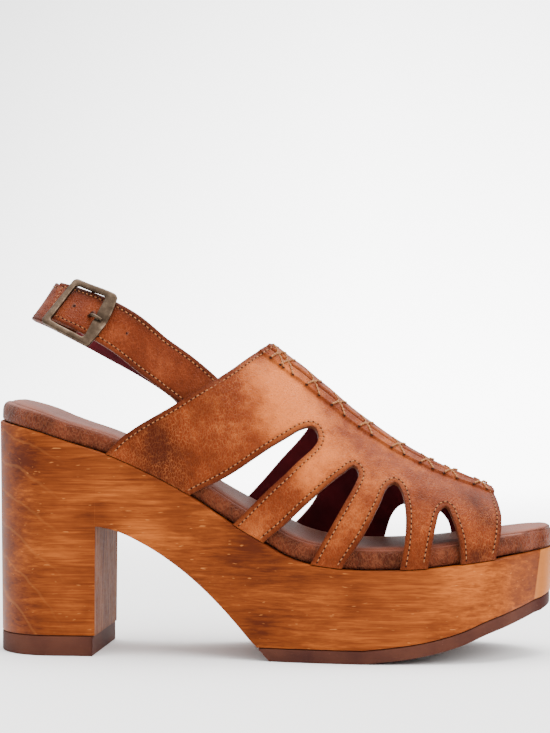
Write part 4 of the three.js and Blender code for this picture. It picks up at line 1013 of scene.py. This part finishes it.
def strapLoop():
    exits = {}
    for side in (outerSide, innerSide):
        x = float(rearEdge(exitAround[side]))
        exits[side] = insideUpper(x, float(lastPoint(x, exitAround[side])[2]), side)
    start = exits[outerSide]
    tucks = {}
    for side in (outerSide, innerSide):
        reach = [strapLook["tuck"] * share for share in (1, 0.5)]
        tucks[side] = [insideUpper(exits[side][0] + r, exits[side][2] - r * tuckSlope[side], side)
                       for r in reach]
    middle = [np.array([start[0] - row["back"] * strapLook["reach"],
                        row["across"] * strapLook["loopWidth"] / 2,
                        start[2] + row["rise"] * strapLook["rise"]]) for row in loopForm]
    points = np.array([*tucks[outerSide], exits[outerSide], *middle, exits[innerSide],
                       *reversed(tucks[innerSide])])
    ends = np.concatenate([[2 * points[0] - points[1]], points, [2 * points[-1] - points[-2]]])
    place = np.linspace(0, len(points) - 1, 1400)
    at = np.minimum(place.astype(int), len(points) - 2)
    t = (place - at)[:, None]
    a, b, c, d = (ends[at + k] for k in range(4))
    gap0, gap1, gap2 = (np.sqrt(np.linalg.norm(q - p, axis=1))[:, None]
                        for p, q in ((a, b), (b, c), (c, d)))
    leave = ((b - a) / gap0 - (c - a) / (gap0 + gap1) + (c - b) / gap1) * gap1
    arrive = ((c - b) / gap1 - (d - b) / (gap1 + gap2) + (d - c) / gap2) * gap1
    line = (2 * b - 2 * c + leave + arrive) * t ** 3 + (3 * c - 3 * b - 2 * leave - arrive) * t ** 2
    line = line + leave * t + b
    tucked = 3
    leans = []
    for i, point in enumerate(points):
        if tucked <= i < len(points) - tucked:
            leans.append(loopForm[i - tucked]["lean"])
            continue
        side = outerSide if i < tucked else innerSide
        pair = (points[0], points[tucked - 1]) if side == outerSide else (points[-tucked], points[-1])
        tangent = unit(pair[1] - pair[0])
        upright = np.cross(unit(np.cross(tangent, [0, 0, 1])), tangent)
        around = float(aroundAt(point[0], point[2]))
        wall = lastNormal(point[0], around if side == outerSide else 2 - around)
        leans.append(math.degrees(math.asin(float(wall @ upright))))
    lean = np.radians(np.interp(place, range(len(points)), leans))[:, None]
    tangent = unit(np.gradient(line, axis=0))
    inward = unit(np.cross(tangent, [0, 0, 1]))
    upright = np.cross(inward, tangent)
    across = upright * np.cos(lean) + inward * np.sin(lean)
    length = np.concatenate([[0], np.cumsum(np.linalg.norm(np.diff(line, axis=0), axis=1))])
    return {"at": length, "line": line, "across": across, "outward": np.cross(across, tangent)}


loop = strapLoop()
loopLength = loop["at"][-1]
buckleCentre = strapLook["bucklePlace"] * loopLength


def strapPlace(along, across, height):
    # A place by its distance from the buckle's centre bar, across the strap and out of it
    at = buckleCentre + np.asarray(along, float)
    axes = [np.stack([np.interp(at, loop["at"], loop[key][:, k]) for k in range(3)], -1)
            for key in ("line", "across", "outward")]
    aside = axes[1] * np.asarray(across)[..., None]
    return axes[0] + aside + axes[2] * np.asarray(height)[..., None]


def billetHeight(along):
    return billetSteps(np.asarray(along) / buckleLook["length"]) * strapLook["thickness"]


def strapSection(half, thick):
    # Once round the strap: a flat back, rounded cut edges, and a face that dips at the stitch rows
    row = 2
    face = thick / 2
    cut = strapLook["cutRound"]
    side = [(half - cut, -face), (half, -face + cut), (half, face - 0.45), (half - 0.5, face),
            (half - row + 0.5, face - 0.02), (half - row, face - 0.16),
            (half - row - 0.5, face + 0.02), (half - row - 2, face + 0.08)]
    other = [(-across, height) for across, height in reversed(side)]
    return np.array(side + [(0, face + 0.1)] + other + [(0, -face)])


def billetSpot(along, across):
    # The cut end fans back at its lower edge, and the billet sits high in the frame
    slantFrom = buckleLook["length"] / 2 - buckleLook["sideBar"]
    reach = strapLook["billetOverhang"] + buckleLook["sideBar"]
    fan = np.clip((along - slantFrom) / reach, 0, None)
    back = strapLook["billetSlant"] * fan * (0.5 - across / strapLook["width"])
    near = np.clip((along + 2 * strapLook["width"]) / strapLook["width"], 0, 1)
    near = near - strapLook["fanDrop"] * fan
    return along - back, across + strapLook["billetRise"] * near * near * (3 - 2 * near)


def heelHeight(along):
    return 0 * along


def heelSpot(along, across):
    return along, across


def strapMesh(start, end, height, spot):
    look = strapLook
    section = strapSection(look["width"] / 2, look["thickness"])
    rows = []
    for station in np.linspace(start, end, max(3, round((end - start) / look["step"]))):
        along, across = spot(np.full(len(section), station), section[:, 0])
        rows.append(strapPlace(along, across, section[:, 1] + height(along)))
    return gridMesh(rows, closeAcross=True, fillEnds=True)


def shadeStrap(piece):
    # Faces by what they show, and each vertex's distance from the cut edges
    mesh = piece.data
    half = strapLook["width"] / 2
    points = np.array([v.co for v in mesh.vertices]) * 1000 - frameShift
    near = [int(np.argmin(np.linalg.norm(loop["line"] - p, axis=1))) for p in points]
    away = points - loop["line"][near]
    across = np.einsum("ij,ij->i", away, loop["across"][near])
    addLayer(piece, "edgeDistance", np.maximum(half - np.abs(across), 0))
    for polygon in mesh.polygons:
        middle = near[polygon.vertices[0]]
        outward = float(np.array(polygon.normal) @ loop["outward"][middle])
        polygon.material_index = 0 if outward > 0.5 else 1 if outward < -0.5 else 2


def makeStrap(name, start, end, height, spot):
    piece = finishMesh(strapMesh(start, end, height, spot), name, 50)
    dress(piece, "strap_leather", "strap", "lining", "edge")
    shadeStrap(piece)
    return piece


billetEnd = buckleLook["length"] / 2 + strapLook["billetOverhang"]
billetFrom = strapLook["endGap"] - buckleCentre
billet = makeStrap("strapBillet", billetFrom, billetEnd, billetHeight, billetSpot)
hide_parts("strap_billet")
heelEnd = loopLength - buckleCentre - strapLook["endGap"]
heelStrap = makeStrap("strapHeel", -buckleLook["barRadius"], heelEnd, heelHeight, heelSpot)
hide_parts("strap_heel")
print("straps made")

# Buckle
prongHole = -buckleLook["length"] / 2 + buckleLook["frontBar"] + buckleLook["holeFrom"]
buckleLow = (float(billetHeight(-buckleLook["length"] / 2 + buckleLook["frontBar"]))
             + strapLook["thickness"] / 2 + 2 * buckleLook["slideGap"])


def roundedFrame(alongFrom, alongTo, half, radius, bow, count=16):
    # A rectangle with round corners and a bowed front, with points that can bend
    middle, reach = (alongFrom + alongTo) / 2, (alongTo - alongFrom) / 2
    points = []
    corners = [(1, 1), (-1, 1), (-1, -1), (1, -1)]
    for k, (signAlong, signAcross) in enumerate(corners):
        for t in np.linspace(0, 1, 6):
            turn = (k + t) * math.pi / 2
            points.append((middle + signAlong * (reach - radius) + radius * math.cos(turn),
                           signAcross * (half - radius) + radius * math.sin(turn)))
        after = corners[(k + 1) % 4]
        turn = (k + 1) * math.pi / 2
        nextPoint = (middle + after[0] * (reach - radius) + radius * math.cos(turn),
                     after[1] * (half - radius) + radius * math.sin(turn))
        for t in np.linspace(0, 1, count)[1:-1]:
            points.append(tuple(np.array(points[(k + 1) * 6 + k * (count - 2) - 1]) * (1 - t)
                                + np.array(nextPoint) * t))
    points = np.array(points)
    front = points[:, 0] < alongFrom + 0.02
    points[front, 0] -= bow * (1 - (points[front, 1] / (half - radius)) ** 2)
    return points


def makeBuckle():
    look = buckleLook
    reach = look["length"] / 2
    innerHalf = strapLook["width"] / 2 + look["slideGap"] + shoe["seatGap"]
    outer = roundedFrame(-reach, reach, innerHalf + look["sideBar"], look["round"], look["bow"])
    inner = roundedFrame(-reach + look["frontBar"], reach - look["sideBar"], innerHalf,
                         look["round"] * 0.75, 0)
    thick = look["thickness"]
    # Section from the inside edge over the face to the outside edge: (share out, height)
    section = [(0, 0.15), (0, 0.75), (0.1, 0.93), (0.3, 1), (0.7, 1), (0.9, 0.93), (1, 0.75),
               (1, 0.15), (0.9, 0), (0.1, 0)]
    rows = []
    for place in range(len(outer)):
        points = [inner[place] + (outer[place] - inner[place]) * share for share, _ in section]
        heights = np.array([buckleLow + thick * h for _, h in section])
        points = np.array(points)
        onFront = points[:, 0] < -reach + look["frontBar"] + 0.5
        notch = np.exp(-(points[:, 1] / look["notchHalf"]) ** 2) * onFront
        heights -= notch * (heights > buckleLow + thick / 2) * thick * look["notchDepth"]
        rows.append(strapPlace(points[:, 0], points[:, 1], heights))
    piece = finishMesh(gridMesh(rows, closeAcross=True, closeAlong=True), "buckleFrame", 50)
    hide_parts("buckle_frame")
    dress(piece, "brass", "brass")
    span = innerHalf + look["sideBar"] / 2
    barEnd = strapLook["width"] / 2 + look["barPast"]
    rows = []
    for across in np.linspace(-barEnd, barEnd, 12):
        turn = np.linspace(0, 2 * math.pi, 13)[:-1]
        rows.append(strapPlace(look["barRadius"] * np.cos(turn), np.full(12, across),
                               look["barRadius"] * np.sin(turn) - look["barDrop"]))
    bar = finishMesh(gridMesh(rows, closeAcross=True, fillEnds=True), "buckleCentreBar", 50)
    dress(bar, "brass", "brass")
    corners = np.array([(-1, -1), (1, -1), (1, 1), (-1, 1)]) * (look["postAlong"], look["postAcross"])
    for side in (-1, 1):
        rows = []
        for share in np.linspace(0, 1, 7):
            height = -look["barDrop"] + (buckleLow + thick / 2 + look["barDrop"]) * share
            across = side * (barEnd + (span - barEnd) * share)
            rows.append(strapPlace(corners[:, 0], across + corners[:, 1], np.full(4, height)))
        post = gridMesh(rows, closeAcross=True, fillEnds=True)
        dress(finishMesh(post, "bucklePost" + str(side + 1), 40), "brass", "brass")
    return piece


def tubeRows(route, radii, sides=12):
    # Rings along a route given as (along, height), widening or narrowing on the way
    route = np.array(route)
    place = np.linspace(0, len(route) - 1, 60)
    line = splineLine(route, 60)
    radius = np.interp(place, range(len(radii)), radii)
    tangent = unit(np.gradient(line, axis=0))
    side = np.stack([-tangent[:, 1], tangent[:, 0]], 1)
    rows = []
    for point, out, size in zip(line, side, radius):
        turn = np.linspace(0, 2 * math.pi, sides + 1)[:-1]
        along = point[0] + out[0] * size * np.cos(turn)
        height = point[1] + out[1] * size * np.cos(turn)
        rows.append(strapPlace(along, size * np.sin(turn), height))
    return rows


def makeProng():
    look = buckleLook
    eye = look["barRadius"] + look["eyeGap"] + look["prongRadius"]
    turns = np.linspace(-math.pi / 2, math.pi * 0.75, 9)
    hole = prongHole
    rest = buckleLow + look["thickness"] / 2 + look["prongRadius"] + look["eyeGap"]
    route = [(eye * math.cos(turn), -look["barDrop"] + eye * math.sin(turn)) for turn in turns]
    route += [(hole + 1.6, float(billetHeight(hole)) - 0.7), (hole - 1.1, rest - 0.7),
              (hole - 3.2, rest + 0.25), (-look["length"] / 2 + 0.9, rest)]
    radii = [look["prongRadius"]] * (len(route) - 2) + [look["prongRadius"] * 0.95, 0.62]
    prong = gridMesh(tubeRows(route, radii), closeAcross=True, fillEnds=True)
    piece = finishMesh(prong, "buckleProng", 50)
    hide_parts("buckle_prong")
    return dress(piece, "brass", "brass")


makeBuckle()
makeProng()
print("buckle made")

# Stitches: a short thread pulled into the leather at both ends, and dark discs of painted shade for the
# needle holes
stitchLook = {"pitch": 2.2, "length": 1.35, "radius": 0.25, "hole": 0.46, "holeDepth": 0.08,
              "fromEdge": 2.1, "strapFromEdge": 2}


def addDisc(bm, centre, out, radius, depth, segments, rings):
    # A flat round spot on a surface, all in millimetres
    turn = Vector(out).to_track_quat("Z", "X").to_matrix().to_4x4()
    flat = Matrix.Diagonal((radius / 1000, radius / 1000, depth / 1000, 1))
    bmesh.ops.create_uvsphere(bm, u_segments=segments, v_segments=rings, radius=1,
                              matrix=Matrix.Translation(Vector(onFrame(centre))) @ turn @ flat)


def addBead(bm, start, end, radius, lift):
    middle = (start + end) / 2 + lift
    along = Vector(end - start)
    turn = along.to_track_quat("X", "Z").to_matrix().to_4x4()
    size = Matrix.Diagonal((along.length / 2 + radius * 0.4, radius, radius, 1))
    matrix = Matrix.Translation(Vector(middle)) @ turn @ size
    bmesh.ops.create_uvsphere(bm, u_segments=6, v_segments=5, radius=1, matrix=matrix)


def sewRow(thread, holes, line, normals):
    # Stitches along a line of points with their outward directions, all in millimetres
    length, radius = stitchLook["length"], stitchLook["radius"]
    gaps = np.linalg.norm(np.diff(line, axis=0), axis=1)
    at = np.concatenate([[0], np.cumsum(gaps)])
    count = max(1, int(at[-1] / stitchLook["pitch"]))
    spread = at[-1] / count

    def place(distance):
        return (np.array([np.interp(distance, at, line[:, k]) for k in range(3)]),
                np.array([np.interp(distance, at, normals[:, k]) for k in range(3)]))
    for k in range(count):
        middle = (k + 0.5) * spread
        start, out = place(middle - length / 2)
        end, _ = place(middle + length / 2)
        out = out / 1000
        addBead(thread, onFrame(start), onFrame(end), radius / 1000, out * radius * 0.2)
        hole, out = place(middle + spread / 2)
        addDisc(holes, hole, out, stitchLook["hole"], stitchLook["holeDepth"], 6, 3)


def patternRow(line, inset):
    # A row drawn this far inside an edge of the flat pattern, set back on the last
    x, around = line[:, 0], line[:, 1] / upperLook["roundUnit"]
    points = lastPoint(x, around)
    normals = lastNormal(x, around)
    tangent = unit(np.gradient(points, axis=0))
    sideways = np.cross(normals, tangent)
    moved = points + sideways * inset
    lift = upperHeight(x, around)[:, None]
    keep = moved[:, 2] > woodTop(moved[:, 0]) + shoe["seatGap"] + 0.6
    return (moved + normals * lift)[keep], normals[keep]


def sewUpper():
    thread, holes = bmesh.new(), bmesh.new()
    around = np.linspace(0.02, 1.98, 240)
    fromEdge = stitchLook["fromEdge"]
    rows = [(patternPlace(rearEdge(around), around), -fromEdge),
            (patternPlace(toeEdge(around), around), fromEdge)]
    for side in (outerSide, innerSide):
        for cut in cutForm[side]:
            rows.append((cutLine(cut, side), side * -fromEdge))
    for line, inset in rows:
        points, normals = patternRow(line, inset)
        sewRow(thread, holes, points, normals)
    dress(finishMesh(thread, "upperStitches", 70), "upper_leather", "thread")
    dress(finishMesh(holes, "upperNeedleHoleShade", 70), "upper_leather", "hole")


def sewStraps():
    thread, holes = bmesh.new(), bmesh.new()
    edge = strapLook["width"] / 2 - stitchLook["strapFromEdge"]
    tip = billetEnd - stitchLook["strapFromEdge"]
    face = strapLook["thickness"] / 2 - 0.05
    tucked = strapLook["tuck"] * 0.6
    runs = []
    for side in (-1, 1):
        stations = np.linspace(-buckleCentre + tucked, tip, 160)
        along, across = billetSpot(stations, np.full(160, side * edge))
        heel = np.linspace(tip + 3.2, loopLength - buckleCentre - tucked, 200)
        runs.append((along, across, billetHeight(along) + face))
        runs.append((heel, np.full(200, side * edge), np.full(200, face)))
    along, across = billetSpot(np.full(30, tip), np.linspace(-edge, edge, 30))
    runs.append((along, across, billetHeight(along) + face + 0.08))
    for along, across, height in runs:
        points = strapPlace(along, across, height)
        normals = strapPlace(along, across, height + 1) - points
        sewRow(thread, holes, points, normals)
    dress(finishMesh(thread, "strapStitches", 70), "strap_leather", "thread")
    dress(finishMesh(holes, "strapNeedleHoleShade", 70), "strap_leather", "hole")


# At the prong, beyond it and one blind before it: how many pitches away, and the radius
holeLook = {"places": [(0, 1.3), (1, 0.95), (-2, 0.6)], "depth": 0.14, "rim": 1.45, "rimDepth": 0.1}


def punchHoles():
    # Punched holes: a dark disc of painted shade for each mouth, in a pressed ring
    look = strapLook
    mouths, rims = bmesh.new(), bmesh.new()
    for pitches, size in holeLook["places"]:
        along = prongHole + pitches * look["holePitch"]
        face = billetHeight(along) + look["thickness"] / 2 + 0.05
        centre = strapPlace(along, look["billetRise"], face)
        out = unit(strapPlace(along, look["billetRise"], billetHeight(along) + 5) - centre)
        addDisc(mouths, centre, out, size, holeLook["depth"], 16, 6)
        addDisc(rims, centre, out, size * holeLook["rim"], holeLook["rimDepth"], 16, 6)
    dress(finishMesh(mouths, "billetHoleShade", 70), "strap_leather", "hole")
    dress(finishMesh(rims, "billetHoleRims", 70), "strap_leather", "edge")


sewUpper()
sewStraps()
punchHoles()
print("stitches sewn")

# Cross-stitches over the centre seam
crossLook = {"legAcross": 5.2, "legAlong": 2.7, "radius": 0.5, "hole": 0.75, "holeDepth": 0.2}
crossPlaces = [0.506, 0.523, 0.57, 0.615, 0.664, 0.7215, 0.772, 0.814, 0.866]


def seamPlace(x, offset):
    around = float(seamAround(x) + offset / roundLength(x, seamAround(x)))
    place = overLast(np.array([x]), np.array([around]), np.array([upperHeight(x, around)]))
    return place[0], lastNormal(x, around)


def sewCrosses():
    look = crossLook
    thread, holes = bmesh.new(), bmesh.new()
    for share in crossPlaces:
        x = share * shoe["length"]
        for lean in (-1, 1):
            line, out = [], []
            for t in np.linspace(-1, 1, 9):
                point, normal = seamPlace(x + lean * t * look["legAlong"], t * look["legAcross"])
                line.append(point)
                out.append(normal)
            line, out = np.array(line), np.array(out)
            lift = out * (look["radius"] * (0.55 + 0.35 * (lean + 1)))
            steps = line + lift
            for start, end in zip(steps[:-1], steps[1:]):
                addBead(thread, onFrame(start), onFrame(end), look["radius"] / 1000, 0)
            for point, normal in ((line[0], out[0]), (line[-1], out[-1])):
                addDisc(holes, point, normal, look["hole"], look["holeDepth"], 10, 4)
    dress(finishMesh(thread, "seamCrossStitches", 70), "upper_leather", "thread")
    dress(finishMesh(holes, "seamCrossHoleShade", 70), "upper_leather", "hole")


sewCrosses()
print("seam sewn")

# Floor, light and camera
stageLook = {
    "floor": "#f4f3f2", "fadeFrom": 0.12, "fadeTo": 1.5, "skyTop": 3.2, "skyLow": 0.4,
    "backdrop": 9.5, "greyTop": (0.21, 0.55), "greyLeft": (-0.24, -0.04, 0.55),
    "eye": (191.6, -800, 111), "lens": 91.1, "yaw": 5.11, "pitch": 0.81,
}


def backdropGlow(tree, direction):
    # The studio wall as the camera sees it: brightest low down, greyer to the top and left
    x, _, z = addNode(tree, "SeparateXYZ", [direction]).outputs
    low = addNode(tree, "MapRange", [z, 0, stageLook["greyTop"][0], 1, stageLook["greyTop"][1]])
    left = addNode(tree, "MapRange", [x, *stageLook["greyLeft"], 1])
    glow = addNode(tree, "Math", [low, left], operation="MULTIPLY")
    return addNode(tree, "Math", [glow, stageLook["backdrop"]], operation="MULTIPLY")


def makeWorld():
    world = bpy.data.worlds.new("studio")
    bpy.context.scene.world = world
    world.use_nodes = True
    tree = world.node_tree
    tree.nodes.clear()
    direction = addNode(tree, "TexCoord").outputs["Generated"]
    rise = addNode(tree, "SeparateXYZ", [direction]).outputs[2]
    light = addNode(tree, "MapRange", [rise, 0, 1, stageLook["skyLow"], stageLook["skyTop"]])
    seen = addNode(tree, "LightPath").outputs["Is Camera Ray"]
    strength = addNode(tree, "Mix", {0: seen, 2: light, 3: backdropGlow(tree, direction)})
    glow = addNode(tree, "Background", {"Strength": strength, "Color": "#ffffff"})
    addNode(tree, "OutputWorld", {"Surface": glow})


def makeFloor():
    bm = bmesh.new()
    bmesh.ops.create_grid(bm, x_segments=1, y_segments=1, size=8)
    mesh = bpy.data.meshes.new("floor")
    bm.to_mesh(mesh)
    bm.free()
    floor = bpy.data.objects.new("floor", mesh)
    bpy.context.scene.collection.objects.link(floor)
    # Pale matt paper that runs back into the lit backdrop, painted on it for the photograph's place
    made, tree, surface, place = newMaterial("paleStudioPaper")
    setInputs(surface, {"Base Color": stageLook["floor"], "Roughness": 0.95, "Specular IOR Level": 0})
    depth = addNode(tree, "SeparateXYZ", [place]).outputs[1]
    fade = addNode(tree, "MapRange", [depth, stageLook["fadeFrom"], stageLook["fadeTo"]],
                   interpolation_type="SMOOTHSTEP")
    eye = tuple(onFrame(stageLook["eye"]))
    away = addNode(tree, "VectorMath", [place, eye], operation="SUBTRACT")
    away = addNode(tree, "VectorMath", [away], operation="NORMALIZE")
    glow = addNode(tree, "Emission", {"Strength": backdropGlow(tree, away)})
    seen = addNode(tree, "LightPath").outputs["Is Camera Ray"]
    fade = addNode(tree, "Math", [fade, seen], operation="MULTIPLY")
    blend = addNode(tree, "MixShader", [fade, surface, glow])
    setInputs(tree.nodes["Material Output"], {"Surface": blend})
    floor.data.materials.append(made)


def addLamp(name, place, aim, size, watts, colour="#ffffff"):
    data = bpy.data.lights.new(name, "AREA")
    data.shape = "RECTANGLE"
    data.size, data.size_y = size
    data.energy = watts
    data.color = linear(colour)[:3]
    lamp = bpy.data.objects.new(name, data)
    bpy.context.scene.collection.objects.link(lamp)
    lamp.location = place
    lamp.rotation_euler = (Vector(aim) - Vector(place)).to_track_quat("-Z", "Y").to_euler()


def makeCamera():
    data = bpy.data.cameras.new("camera")
    data.sensor_width = 36
    data.lens = stageLook["lens"]
    data.clip_start, data.clip_end = 0.05, 20
    camera = bpy.data.objects.new("camera", data)
    bpy.context.scene.collection.objects.link(camera)
    camera.location = onFrame(stageLook["eye"])
    camera.rotation_euler = (math.radians(90 + stageLook["pitch"]), 0, math.radians(stageLook["yaw"]))
    bpy.context.scene.camera = camera


makeWorld()
makeFloor()
addLamp("topSoftbox", (0.1, 0.1, 1.1), (0, 0, 0.05), (1.0, 0.8), 16)
addLamp("sideSoftbox", (0.85, -0.75, 0.75), (0.02, 0, 0.06), (0.7, 0.7), 14)
makeCamera()
